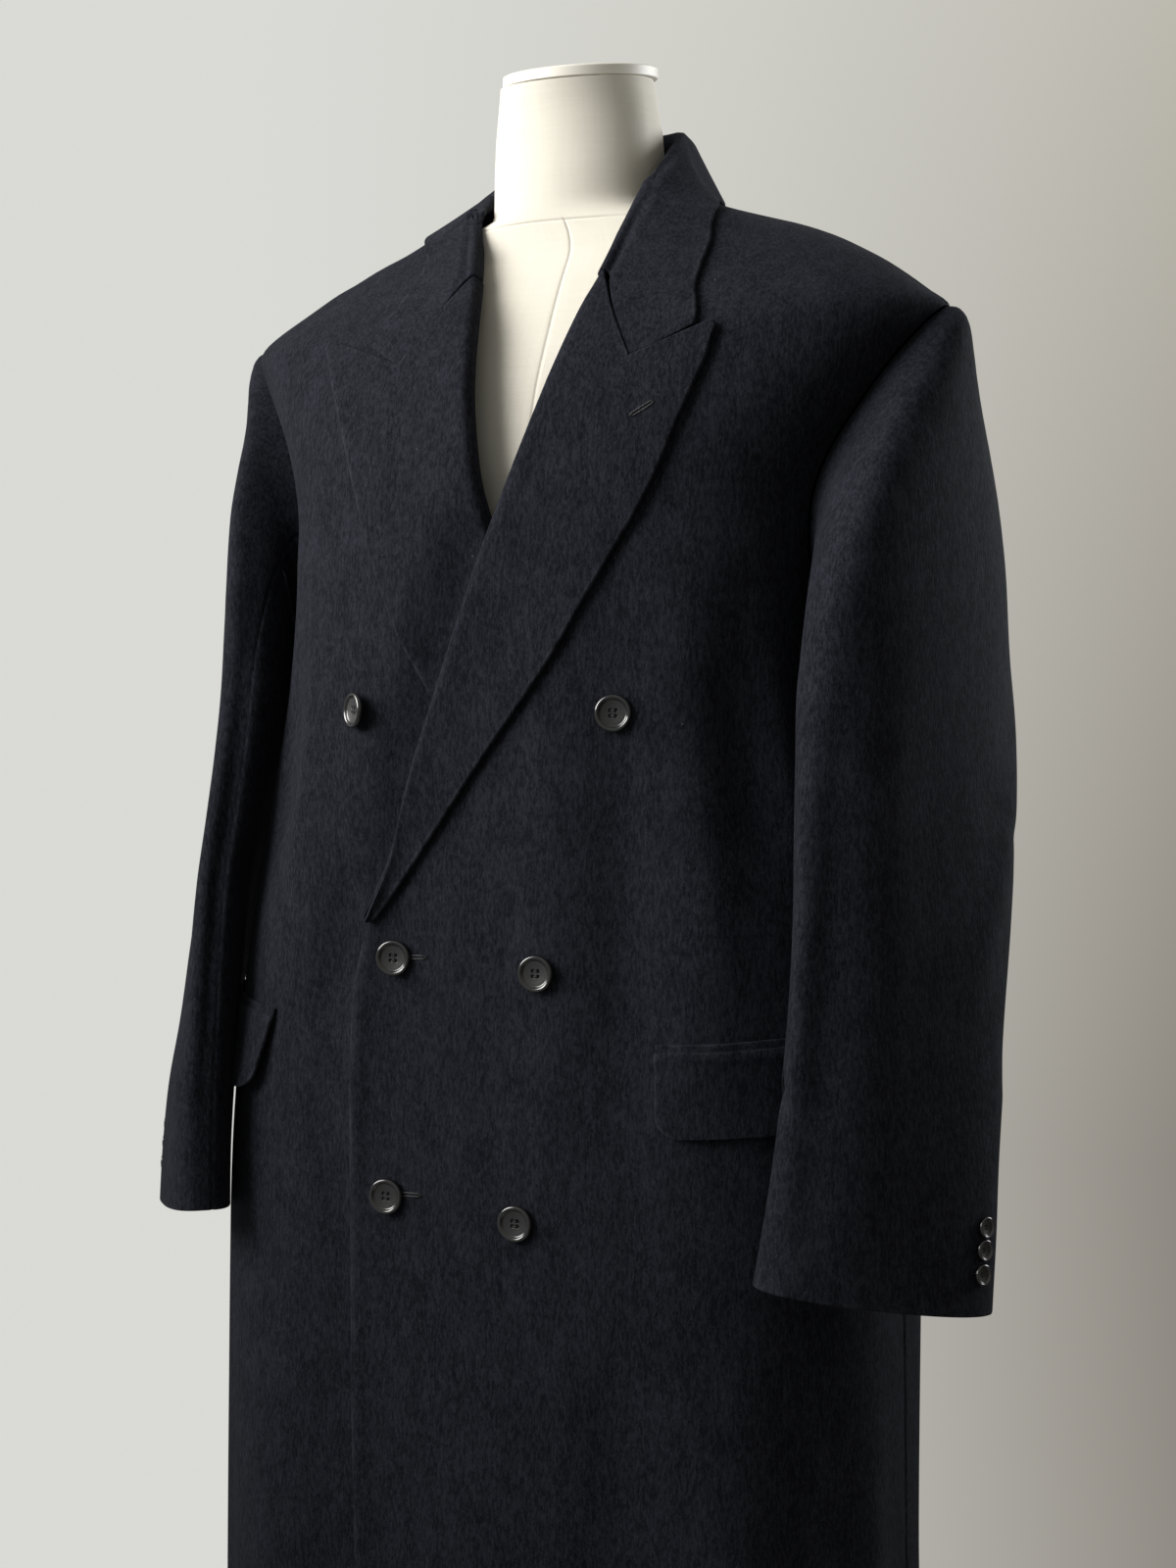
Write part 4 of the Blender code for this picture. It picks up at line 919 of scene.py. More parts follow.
    def normal(self, around: Number, height: Number) -> Array:
        """Outward unit normals.

        Args:
            around: Places round the body.
            height: Heights.

        Returns:
            The cross product of two small steps on the surface, sideways and up.
        """
        around, height = np.broadcast_arrays(np.asarray(around, float), np.asarray(height, float))
        step = self.probe
        low = np.clip(height - step, self.sections[0][0], None)
        high = np.clip(height + step, None, self.sections[-1][0])
        sideways = self.point(around + step, height) - self.point(around - step, height)
        return unit(np.cross(sideways, self.point(around, high) - self.point(around, low)))

    def around_at(self, sideways: Number, height: Number) -> Array:
        """Place round the front with a given sideways coordinate.

        Args:
            sideways: The coordinate.
            height: Its height.

        Returns:
            The place, found by halving the range from the right side to the left.
        """
        sideways, height = np.broadcast_arrays(np.asarray(sideways, float), np.asarray(height, float))
        low, high = np.full(sideways.shape, -1.0), np.full(sideways.shape, 1.0)
        for _ in range(self.halvings):
            middle = (low + high) / 2
            below = self.point(middle, height)[..., 0] < sideways
            low, high = np.where(below, middle, low), np.where(below, high, middle)
        return (low + high) / 2

    def edge(self, side: Side, height: Number) -> Array:
        """Sideways place of a front's edge, or of its roll line above the break."""
        return column(self.left_edge if side is Side.LEFT else self.right_edge, 1, height)

    def lap_sink(self, around: Array, height: Array) -> Array:
        """How far the right front sinks under the left: a soft step, deeper by the break."""
        past = self.point(around, height)[..., 0] - self.edge(Side.LEFT, height)
        under = ease(past, -self.lap_ease - self.lap_margin, -self.lap_margin)
        shallow = CLOTH + self.lap_gap
        near_break = ease(height, self.break_height - self.lap_rise, self.break_height)
        depth = shallow + (self.lap_depth - shallow) * near_break
        return under * depth * (1.0 - ease(height, *self.lap_end))

    def layer(self, side: Side, around: Array, height: Array, lift: Number) -> Array:
        """Points lifted off the surface; the right front dips where the left one laps over it."""
        if side is Side.RIGHT:
            lift = np.asarray(lift) - self.lap_sink(around, height)
        return self.point(around, height) + self.normal(around, height) * np.asarray(lift, float)[..., None]

    def armhole(self, index: Number) -> tuple[Array, Array]:
        """The armhole's loop.

        Args:
            index: Steps round it, of 24: 0 on the shoulder, 6 in front, 12 below, 18 behind.

        Returns:
            Its places round the body and its heights, an oval that scoops out low down.
        """
        turn = np.asarray(index, float) * STEP_TURN
        low_share = (1 - np.cos(turn)) / 2
        forward = self.front_reach + self.front_scoop * low_share**self.front_curve
        backward = self.back_reach + self.back_scoop * low_share**self.back_curve
        reach = np.where(np.sin(turn) > 0, forward, backward)
        height = (self.hole_top + self.hole_low) / 2 + (self.hole_top - self.hole_low) / 2 * np.cos(turn)
        return 1 - reach * np.sin(turn), height


@dataclass(frozen=True)
class Panels:
    """The four panels of the coat's body, sewn at the sides and the centre back."""

    body: CoatBody
    wool: Material
    columns: int = 96
    skirt_rows: int = 66
    waist_rows: int = 26
    hole_rows: int = 49
    shoulder_rows: int = 30
    crowd: float = 0.9
    hem_rows: Row = (0.0, 0.0008, 0.002, 0.004)
    groove: float = 0.0011
    groove_width: float = 0.0017
    deepest: float = 0.7
    edge_roll: float = 0.0016
    roll_place: float = 0.005
    roll_width: float = 0.006
    roll_fade: Span = (-0.05, 0.02)
    cuts: tuple[Cut, Cut] = (
        Cut(0.44, 1.3, 0.475, Held.HUNG),
        Cut(0.38, 1.3, 0.415, Held.HUNG),
    )

    def heights(self) -> Array:
        """Heights of a panel's rows, from the hem to the neck, close round the armhole's ends."""
        body = self.body
        skirt = body.hem + (body.break_height - body.hem) * np.linspace(0, 1, self.skirt_rows)
        waist = np.linspace(body.break_height, body.hole_low, self.waist_rows)[1:-1]
        hole = body.armhole(np.linspace(12, 0, self.hole_rows))[1]
        shoulder = np.linspace(body.hole_top, body.neck, self.shoulder_rows)[1:]
        low = skirt[0] + np.array(self.hem_rows)
        return np.concatenate([low, skirt[1:], waist, hole, shoulder])

    def side_limit(self, heights: Array, backwards: bool) -> Array:
        """Where a panel stops at the side.

        Args:
            heights: Heights of its rows.
            backwards: Whether it is a back panel.

        Returns:
            Places round the body: half a seam short of the side line, or on the armhole.
        """
        body = self.body
        middle, half = (body.hole_top + body.hole_low) / 2, (body.hole_top - body.hole_low) / 2
        inside = (heights > body.hole_low + 1e-6) & (heights < body.hole_top - 1e-6)
        index = np.arccos(np.clip((heights - middle) / half, -1, 1)) / np.pi * 12
        hole = body.armhole(-index if backwards else index)[0]
        shift = self.turn_of(SEAM / 2, heights)
        return np.where(inside, hole, 1 + shift if backwards else 1 - shift)

    def turn_of(self, distance: float, heights: Array) -> Array:
        """How much of a turn at the side line covers a distance round the body, at each height."""
        step = self.body.probe / 2
        ahead = self.body.point(1 + step, heights) - self.body.point(1 - step, heights)
        return distance * 2 * step / np.linalg.norm(ahead, axis=-1)

    def panel(self, side: Side, start: Array, end: Array, heights: Array, edge_press: bool) -> Skin:
        """One panel as a closed sheet.

        Args:
            side: The front whose layer it follows.
            start: Place of its first column in each row.
            end: Place of its last column.
            heights: Heights of its rows.
            edge_press: Whether its first column is a pressed edge, not a seam.

        Returns:
            The skin; its surface sinks by depth exp(-(distance / width) squared) at each
            seam and rises in a soft roll beside a pressed edge.
        """
        share = crowded(self.columns, self.crowd)
        around = start[:, None] + (end - start)[:, None] * share
        level = np.broadcast_to(heights[:, None], around.shape)
        flat = self.body.point(around, level)
        from_start = run_along(flat, 1)
        from_end = from_start[:, -1:] - from_start
        sink = self.groove * bell(from_end, self.groove_width)
        if edge_press:
            below = 1 - ease(heights - self.body.break_height, *self.roll_fade)[:, None]
            sink = sink - self.edge_roll * below * bell(from_start - self.roll_place, self.roll_width)
        else:
            sink = sink + self.groove * bell(from_start, self.groove_width)
        base = self.body.layer(side, around, level, np.zeros(around.shape))
        normal = self.body.normal(around, level)
        inner = base - normal * CLOTH
        outer = base - normal * np.minimum(sink, CLOTH * self.deepest)[..., None]
        rim = Rim(start=1.0 if edge_press else 0.0, end=0.0, low=1.0, high=0.0)
        return sheet_skin(outer, inner, rim)

    def build(self) -> list[Piece]:
        """Makes the fronts and the backs."""
        heights = self.heights()
        body = self.body
        pieces = []
        centre = 2 - self.turn_of(SEAM / 2, heights)
        for side in Side:
            limit = side.value * self.side_limit(heights, False)
            edge = body.around_at(body.edge(side, heights), heights)
            skin = self.panel(side, edge, limit, heights, True)
            front = add_piece(f"{side.word}_front_cloth", skin, self.wool, Slot.WOOL, f"{side.word}_front")
            limit = side.value * self.side_limit(heights, True)
            skin = self.panel(Side.LEFT, side.value * centre, limit, heights, False)
            back = add_piece(f"{side.word}_back_cloth", skin, self.wool, Slot.WOOL, f"{side.word}_back")
            self.cuts[0].declare(front, "form_torso")
            self.cuts[1].declare(back, "form_torso")
            pieces += [front, back]
        return pieces


@dataclass(frozen=True)
class Crease:
    """A soft trough or ridge of a sleeve, between two shares of its length."""

    top_step: float
    low_step: float
    width: float
    depth: float
    start: float
    end: float

    def push(self, step: Array, share: Array) -> Array:
        """Its push outwards: a bell across it, times a half sine wave along it."""
        along = np.clip((share - self.start) / (self.end - self.start), 0.0, 1.0)
        middle = self.top_step + (self.low_step - self.top_step) * along
        away = (step - middle + STEPS / 2) % STEPS - STEPS / 2
        return self.depth * bell(away, self.width) * np.sin(np.pi * along) ** 0.8


@dataclass(frozen=True)
class Sleeve:
    """A two-piece sleeve, lofted from the armhole over its head to the cuff.

    Columns of sections: height, sideways, forward, half length, half depth, and the turn
    of the flattened section's long way from +X in degrees.  The crown's way is outwards,
    forward in front, backward behind, and up.
    """

    body: CoatBody
    wool: Material
    side: Side
    sections: Table
    creases: tuple[Crease, ...]
    levels: Row = (1.19, 1.14, 1.09, 1.04, 0.99, 0.94, 0.89, 0.845, 0.8)
    squareness: float = 2.2
    cuff_slope: float = 0.16
    crown_out: Span = (0.006, 0.016)
    crown_sink: float = 0.0015
    crown_turn: float = 0.025
    crown_way: Row = (0.96, -0.75, 0.25, 0.1)
    crown_shares: Row = (0.0, 0.25, 0.5, 0.75, 1.0)
    head_shares: Row = (0.2, 0.4, 0.6, 0.8)
    head_bow: float = 0.6
    front_bow: float = 0.22
    bow_fade: float = 0.4
    front_seam: float = 7.0
    back_seam: float = 19.0
    top_rows: Row = (0.0, 0.002, 0.005, 0.009, 0.014)
    cuff_rows: Row = (0.991, 0.996, 1.0)
    rows: int = 150
    columns: int = 80
    crowd: float = 0.9
    step_length: float = 0.02
    groove: float = 0.0005
    groove_width: float = 0.0016
    hole_groove: float = 0.0007
    hole_groove_width: float = 0.0018
    crease_start: float = 0.12
    cuff_calm: float = 0.6
    cuff_start: float = 0.93

    def section(self, step: Array, height: float) -> Array:
        """One level section, sloping down to the back towards the cuff.

        Args:
            step: Steps round it.
            height: Its height.

        Returns:
            Points of the superellipse length sin, depth cos of the turn.
        """
        values = [column(self.sections[::-1], k, height) for k in range(1, 6)]
        sideways, forward, length, depth, turn = values
        angle = np.radians(turn)
        along = np.array([np.cos(angle), np.sin(angle), 0.0])
        inward = np.array([-np.sin(angle), np.cos(angle), 0.0])
        push = bulge(step * STEP_TURN, self.squareness)
        run = length * np.sin(step * STEP_TURN) * push
        thick = depth * np.cos(step * STEP_TURN) * push
        centre = np.array([sideways, -forward, height])
        points = centre - run[..., None] * along - thick[..., None] * inward
        top, low = self.sections[0][0], self.sections[-1][0]
        points[..., 2] += self.cuff_slope * (top - height) / (top - low) * run
        return points

    def surface(self, step: Array, share: Array) -> Array:
        """The sleeve's outer surface on the left side.

        Args:
            step: Steps round the sleeve.
            share: Shares of its length.

        Returns:
            (shares, steps, 3): a smooth curve from the armhole's seam, round a quadratic curve
            over the roped crown, and down the bowed head through the level sections.
        """
        body = self.body
        around, height = body.armhole(step)
        seam, normal = body.point(around, height), body.normal(around, height)
        middle = body.point(*body.armhole(np.array([6.0, 18.0]))).mean(axis=0)
        ahead = body.point(*body.armhole(step + 0.1)) - body.point(*body.armhole(step - 0.1))
        inward = unit(np.cross(ahead, normal))
        inward = inward * np.sign(((middle - seam) * inward).sum(axis=-1))[:, None]
        wave = np.sin(step * STEP_TURN)
        front, back = np.maximum(wave, 0.0), np.maximum(-wave, 0.0)
        high = (1 + np.cos(step * STEP_TURN)) / 2
        outwards, forward, backward, upward = self.crown_way
        ways = [np.full_like(wave, outwards), forward * front + backward * back, upward * high]
        out = self.crown_out[0] + (self.crown_out[1] - self.crown_out[0]) * high
        start = seam + inward * SEAM
        crown = seam + inward * self.crown_sink + unit(np.stack(ways, axis=-1)) * out[:, None]
        wide, foot = self.section(step, self.sections[0][0]), self.section(step, self.levels[0])
        lean = (high + self.front_bow * front)[:, None]
        level = np.array([1.0, 1.0, 0.0])
        head = []
        for part in self.head_shares:
            fade = 1 - self.bow_fade * float(ease(part, 0.0, 1.0))
            bow = math.sin(math.pi * part) * self.head_bow * lean * fade
            head.append(crown + (foot - crown) * part + (wide - crown) * level * bow)
        end = crown + unit(head[0] - crown) * self.crown_turn
        rings = [start * (1 - t) ** 2 + crown * (2 * t * (1 - t)) + end * t**2 for t in self.crown_shares]
        rings += head
        rings += [self.section(step, height) for height in self.levels]
        controls = np.array(rings)
        places = chord_places(controls)
        return through(controls, places, share * places[-1])

    def mirrored(self, points: Array) -> Array:
        """Points of the left side, or their mirror image about the body's middle."""
        if self.side is Side.LEFT:
            return points
        moved = points.copy()
        moved[..., 0] = 2 * column(self.body.sections, 1, points[..., 2]) - moved[..., 0]
        return moved

    def half(self, first: float, last: float) -> Skin:
        """One sleeve piece between two steps round the sleeve.

        Args:
            first: Step of its first seam.
            last: Step of its last seam.

        Returns:
            The closed sheet, with grooves at its seams and its creases pressed in.
        """
        share = np.concatenate([self.top_rows, np.linspace(0.02, 0.985, self.rows), self.cuff_rows])
        step = first + (last - first) * crowded(self.columns, self.crowd)
        gap = SEAM / 2 / self.step_length
        step[0] += gap
        step[-1] -= gap
        base = self.surface(step, share)
        across = self.surface(step + 0.02, share) - self.surface(step - 0.02, share)
        normal = unit(np.cross(across, np.gradient(base, axis=0)))
        ring = self.surface(np.arange(STEPS), share[-1:]).mean(axis=1)
        normal = normal * np.sign(((base[-1] - ring) * normal[-1]).sum())
        run = run_along(base, 1)
        sink = self.groove * (bell(run, self.groove_width) + bell(run[:, -1:] - run, self.groove_width))
        sink = sink + self.hole_groove * bell(run_along(base, 0), self.hole_groove_width)
        length = share[:, None]
        push = sum(crease.push(step[None], length) for crease in self.creases)
        push = push * ease(length, 0.0, self.crease_start)
        push = push * (1 - self.cuff_calm * ease(length, self.cuff_start, 1.0))
        skin = base + normal * push[..., None]
        outer = skin - normal * sink[..., None]
        inner = skin - normal * CLOTH
        rim = Rim(start=0.0, end=0.0, low=0.0, high=1.0)
        return sheet_skin(self.mirrored(outer), self.mirrored(inner), rim)

    def build(self) -> list[Piece]:
        """Makes the top and the under sleeve."""
        pieces = []
        for part, first, last, cut in (
            ("top_sleeve", self.back_seam, self.front_seam + 24, Cut(0.27, 0.68, 0.14, Held.HUNG)),
            ("under_sleeve", self.front_seam, self.back_seam, Cut(0.22, 0.55, 0.105, Held.HUNG)),
        ):
            name = f"{self.side.word}_{part}"
            piece = add_piece(name + "_cloth", self.half(first, last), self.wool, Slot.WOOL, name)
            cut.declare(piece, f"{self.side.word}_front_cloth", f"{self.side.word}_back_cloth")
            pieces.append(piece)
        return pieces


LEFT_SLEEVE: Table = (
    (1.3, 0.2597, 0.012, 0.106, 0.044, 81.0), (1.23, 0.2641, 0.02, 0.1029, 0.045, 77.0),
    (1.16, 0.2688, 0.031, 0.1002, 0.0405, 72.0), (1.09, 0.2749, 0.046, 0.0958, 0.0365, 67.0),
    (1.02, 0.279, 0.062, 0.0882, 0.032, 61.0), (0.95, 0.2805, 0.078, 0.083, 0.03, 55.0),
    (0.88, 0.28, 0.092, 0.0803, 0.031, 49.0), (0.8, 0.2753, 0.102, 0.0812, 0.034, 42.0),
)
RIGHT_SLEEVE: Table = (
    (1.3, 0.2437, 0.008, 0.086, 0.029, 80.0), (1.23, 0.2483, 0.016, 0.09, 0.0285, 75.0),
    (1.16, 0.2534, 0.028, 0.09, 0.0266, 70.0), (1.09, 0.2616, 0.044, 0.088, 0.0235, 65.0),
    (1.02, 0.2686, 0.06, 0.087, 0.022, 60.0), (0.95, 0.2697, 0.073, 0.088, 0.0222, 55.0),
    (0.88, 0.2674, 0.087, 0.085, 0.0242, 51.0), (0.8, 0.2613, 0.098, 0.083, 0.0242, 48.0),
)
LEFT_CREASES: tuple[Crease, ...] = (
    Crease(4.4, 3.0, 0.9, -0.004, 0.3, 1.02), Crease(2.6, 1.0, 0.9, 0.003, 0.25, 0.95),
    Crease(6.2, 5.0, 0.8, 0.0028, 0.35, 0.85), Crease(23.0, 1.2, 0.8, -0.003, 0.45, 0.9),
    Crease(19.5, 22.5, 0.8, 0.0034, 0.3, 0.7), Crease(17.5, 19.5, 0.9, -0.004, 0.42, 0.78),
    Crease(15.0, 17.0, 0.9, 0.003, 0.3, 0.7), Crease(10.0, 12.5, 1.2, 0.003, 0.2, 0.8),
)
RIGHT_CREASES: tuple[Crease, ...] = (
    Crease(4.8, 3.9, 1.3, 0.0034, 0.15, 0.95), Crease(6.6, 5.9, 1.0, -0.0028, 0.2, 0.9),
    Crease(2.9, 2.2, 1.2, -0.0026, 0.25, 0.9), Crease(19.0, 22.0, 0.8, -0.0036, 0.35, 0.75),
    Crease(16.6, 18.6, 0.9, 0.0034, 0.4, 0.8), Crease(10.5, 12.0, 1.2, -0.003, 0.2, 0.8),
)


def edge_direction(line: Array, normal: Array, towards: Array) -> Array:
    """Unit vectors out past an edge line in the cloth's plane, on the side of a point."""
    away = unit(np.cross(np.gradient(line, axis=0), normal))
    return away * np.sign(((towards - line) * away).sum(axis=-1, keepdims=True))


@dataclass(frozen=True)
class Corners:
    """Three places of a leaf's top edge, as (sideways, height): seam, notch and tip."""

    gorge: Place
    notch: Place
    tip: Place
    before_notch: float = 0.62
    crowd: float = 0.8

    @property
    def kink(self) -> float:
        """How far along the edge the notch comes."""
        first = math.dist(self.gorge, self.notch)
        return first / (first + math.dist(self.notch, self.tip))

    def line(self, share: Array) -> Array:
        """(sideways, height) places on the kinked line, by shares of its length."""
        ways = zip(self.gorge, self.notch, self.tip)
        return np.stack([np.interp(share, (0, self.kink, 1), way) for way in ways], axis=-1)

    def shares(self, count: int, start: float) -> Array:
        """Shares from start to 1, even up to the notch, then crowding at it and at the tip."""
        inner = start + (self.kink - start) * np.linspace(0, 1, int(count * self.before_notch))
        beyond = crowded(int(count * (1 - self.before_notch)), self.crowd)[1:]
        outer = self.kink + (1 - self.kink) * beyond
        return np.concatenate([inner, outer])


@dataclass(frozen=True)
class Lapel:
    """A peaked lapel that rolls round its front's edge and lies on the front.

    Columns of turns: how far past the edge and off the cloth the leaf's middle passes, and
    the share of its crest's height that it has there.
    """

    body: CoatBody
    wool: Material
    side: Side
    outline: tuple[Place, ...]
    corners: Corners
    puff: float
    lift: float = 0.0014
    seam: float = 0.0008
    puff_fade: float = 2.5
    top_fade: float = 5.0
    start: float = 0.02
    rows: int = 150
    columns: int = 64
    tip_radius: float = 0.0055
    tip_fade: float = 30.0
    crowd: float = 1.15
    turn_share: float = 0.05
    turn_rows: int = 16
    turns: Table = ((LEAF / 2, -CLOTH, 0.0), (LEAF / 2, 0.001, 0.0), (-0.0011, LEAF / 2, 0.8))
    cut: Cut = Cut(0.125, 0.47, 0.037, Held.FOLDED)

    def places(self, across: Array) -> tuple[Array, Array]:
        """(sideways, height) places of the roll line and of the lying leaf.

        Args:
            across: Shares from the roll line to the outer edge.

        Returns:
            The roll line and the grid between it and the outline, whose top row bends
            along the kinked edge and whose tip is rounded.
        """
        body, gorge, tip = self.body, self.corners.gorge, self.corners.tip
        rise = self.start + (1 - self.start) * (1 - (1 - np.linspace(0, 1, self.rows)) ** self.crowd)
        low = body.break_height
        roll_height = low + (gorge[1] - low) * rise
        rim_height = low + (tip[1] - low) * rise
        rim_points = np.array([(float(body.edge(self.side, low)), low), *self.outline[::-1], tip])
        roll = np.stack([body.edge(self.side, roll_height), roll_height], axis=-1)
        rim = np.stack([smooth(rim_height, rim_points[:, 1], rim_points[:, 0]), rim_height], axis=-1)
        flat = Corners(gorge, ((gorge[0] + tip[0]) / 2, (gorge[1] + tip[1]) / 2), tip)
        bend = self.corners.line(across) - flat.line(across)
        grid = roll[:, None] + across[None, :, None] * (rim - roll)[:, None]
        grid = grid + (rise**self.top_fade)[:, None, None] * bend[None]
        to_tip = (1 - across) * math.dist(self.corners.notch, tip) / (1 - self.corners.kink)
        short = np.clip(self.tip_radius - to_tip, 0.0, self.tip_radius)
        cut = self.tip_radius - np.sqrt(self.tip_radius**2 - short**2)
        grid[..., 1] -= (rise**self.tip_fade)[:, None] * cut
        return roll, grid

    def middle(self) -> Array:
        """The leaf's middle surface: a tight turn round the edge, then the lying part."""
        body = self.body
        across = self.corners.shares(self.columns, self.turn_share)
        roll, grid = self.places(across)
        around = body.around_at(roll[:, 0], roll[:, 1])
        line = body.layer(self.side, around, roll[:, 1], np.zeros(len(roll)))
        normal = body.normal(around, roll[:, 1])
        away = edge_direction(line, normal, np.array([-self.side.value, -0.1, body.break_height]))
        lift = self.lift + self.puff * (1 - across) ** self.puff_fade + LEAF / 2
        laid = body.layer(self.side, body.around_at(grid[..., 0], grid[..., 1]), grid[..., 1],
                          np.broadcast_to(lift, grid.shape[:2]))
        crest = self.lift + self.puff
        wrap = [line + away * (self.seam + past) + normal * (up + crest * part)
                for past, up, part in self.turns]
        controls = np.array([*wrap, laid[:, 0], laid[:, 6]])
        spots = chord_places(controls)
        turn = through(controls, spots, np.linspace(0.0, spots[3], self.turn_rows)[:-1])
        return np.concatenate([turn.transpose(1, 0, 2), laid], axis=1)

    def build(self) -> list[Piece]:
        """Makes the lapel."""
        middle = self.middle()
        normal = outward_normals(middle) * self.side.value
        half = normal * LEAF / 2
        rim = Rim(start=0.6, end=1.0, low=0.6, high=0.8)
        name = f"{self.side.word}_lapel"
        piece = add_piece(name + "_leaf", sheet_skin(middle + half, middle - half, rim),
                          self.wool, Slot.WOOL, name)
        self.cut.declare(piece, f"{self.side.word}_front_cloth")
        return [piece]


@dataclass(frozen=True)
class CollarSide:
    """One half of the collar: its front corners, its roll and its outer edge.

    Columns of roll: share along from the gorge, then the crest's sideways, forward and
    height.  Columns of fall: share along, place round the body, height.
    """

    side: Side
    corners: Corners
    roll: Table
    fall: Table


@dataclass(frozen=True)
class Collar:
    """One collar leaf: a stand round the neck, a rolled crest and a fall."""

    body: CoatBody
    wool: Material
    halves: tuple[CollarSide, CollarSide]
    cloth: float = 0.0032
    lift: float = 0.0023
    turn: float = 0.0032
    gorge_lift: float = 0.0085
    gap: float = 0.0012
    neck_point: float = 0.3
    roll_start: float = 0.04
    fall_fade: float = 1.1
    gorge_press: float = 2.6
    gorge_fade: float = 8.0
    notch_fade: float = 12.0
    neck_middle: Row = (0.0, 0.02, 1.62)
    steps: int = 84
    crowd: float = 1.25
    columns: int = 40
    turn_share: float = 0.14
    turn_rows: int = 30
    cut: Cut = Cut(0.15, 0.52, 0.062, Held.FOLDED)

    def neck_line(self, half: CollarSide, along: Array) -> tuple[Array, Array]:
        """Places and heights of the neck seam, by shares from the gorge to the centre back."""
        body = self.body
        low = half.corners.gorge[1]
        height = low + (body.neck - low) * np.clip(along / self.neck_point, 0, 1)
        around = body.around_at(body.edge(half.side, height), height)
        start = body.around_at(body.edge(half.side, body.neck), body.neck)
        past = np.clip((along - self.neck_point) / (1 - self.neck_point), 0, 1)
        back = start + (2 * half.side.value - start) * past
        return np.where(along > self.neck_point, back, around), height

    def stand(self, half: CollarSide, along: Array, around: Array,
              height: Array) -> tuple[list[Array], Array]:
        """Rows of the collar from the neck seam up and over its crest.

        Args:
            half: Which half.
            along: Shares along from the gorge to the centre back.
            around: Places of the neck seam.
            height: Its heights.

        Returns:
            Five rows of points, and how far the last lies from the seam.
        """
        body = self.body
        line = body.layer(Side.LEFT, around, height, np.zeros(len(along)))
        normal = body.normal(around, height)
        away = edge_direction(line, normal, np.array(self.neck_middle))
        roll = np.stack([half.side.value * column(half.roll, 1, along), -column(half.roll, 2, along),
                         column(half.roll, 3, along)], axis=-1)
        near = ease(along, self.roll_start, self.neck_point)[:, None]
        crest = (line + normal * self.gorge_lift) * (1 - near) + roll * near
        inward = unit(away * np.array([1.0, 1.0, 0.0]))
        beside = (away * inward).sum(axis=-1, keepdims=True) * self.cloth / 2
        stand = line + away * (self.gap + beside) - normal * CLOTH / 2
        rise = crest - stand
        up = unit(rise - inward * (rise * inward).sum(axis=-1, keepdims=True))
        inner = crest + (inward - up) * self.turn
        outer = crest - (inward + up) * self.turn
        return [stand, (stand + inner) / 2, inner, crest, outer], outer - line

    def half_middle(self, half: CollarSide) -> Array:
        """The middle surface of one half.

        Args:
            half: Which half.

        Returns:
            A grid from the gorge to the centre back, whose columns run over the crest to the
            outer edge.
        """
        body, corners = self.body, half.corners
        along = np.linspace(0, 1, self.steps) ** self.crowd
        around, height = self.neck_line(half, along)
        rows, offset = self.stand(half, along, around, height)
        first = abs(float(body.around_at(*corners.tip)))
        edge = ((0.0, first, corners.tip[1]), *half.fall)
        fall_around, fall_height = half.side.value * column(edge, 1, along), column(edge, 2, along)
        share = corners.shares(self.columns, self.turn_share)
        bend = corners.line(share)
        straight = around[0] + share * (fall_around[0] - around[0])
        bend_around = body.around_at(bend[:, 0], bend[:, 1]) - straight
        bend_height = bend[:, 1] - (height[0] + share * (fall_height[0] - height[0]))
        fade = ((1 - along) ** self.notch_fade)[None]
        part = share[:, None]
        at = around + part * (fall_around - around) + fade * bend_around[:, None]
        level = height + part * (fall_height - height) + fade * bend_height[:, None]
        laid = body.layer(Side.LEFT, at, level, np.full(at.shape, self.lift))
        fall = self.fall_fade + self.gorge_press * (1 - along) ** self.gorge_fade
        laid = laid + offset[None] * ((1 - part) ** fall)[..., None]
        controls = np.array([*rows, laid[0], laid[5]])
        spots = chord_places(controls)
        turn = through(controls, spots, np.linspace(0.0, spots[5], self.turn_rows)[:-1])
        return np.concatenate([turn, laid]).transpose(1, 0, 2)

    def build(self) -> list[Piece]:
        """Makes the collar from its two halves, joined at the centre back."""
        near, far = (self.half_middle(half) for half in self.halves)
        middle = np.concatenate([near, far[-2::-1]])
        half = outward_normals(middle) * self.cloth / 2
        rim = Rim(start=0.4, end=1.0, low=0.6, high=0.6)
        piece = add_piece("collar_leaf", sheet_skin(middle + half, middle - half, rim),
                          self.wool, Slot.WOOL, "collar")
        self.cut.declare(piece, "left_back_cloth", "right_back_cloth")
        return [piece]


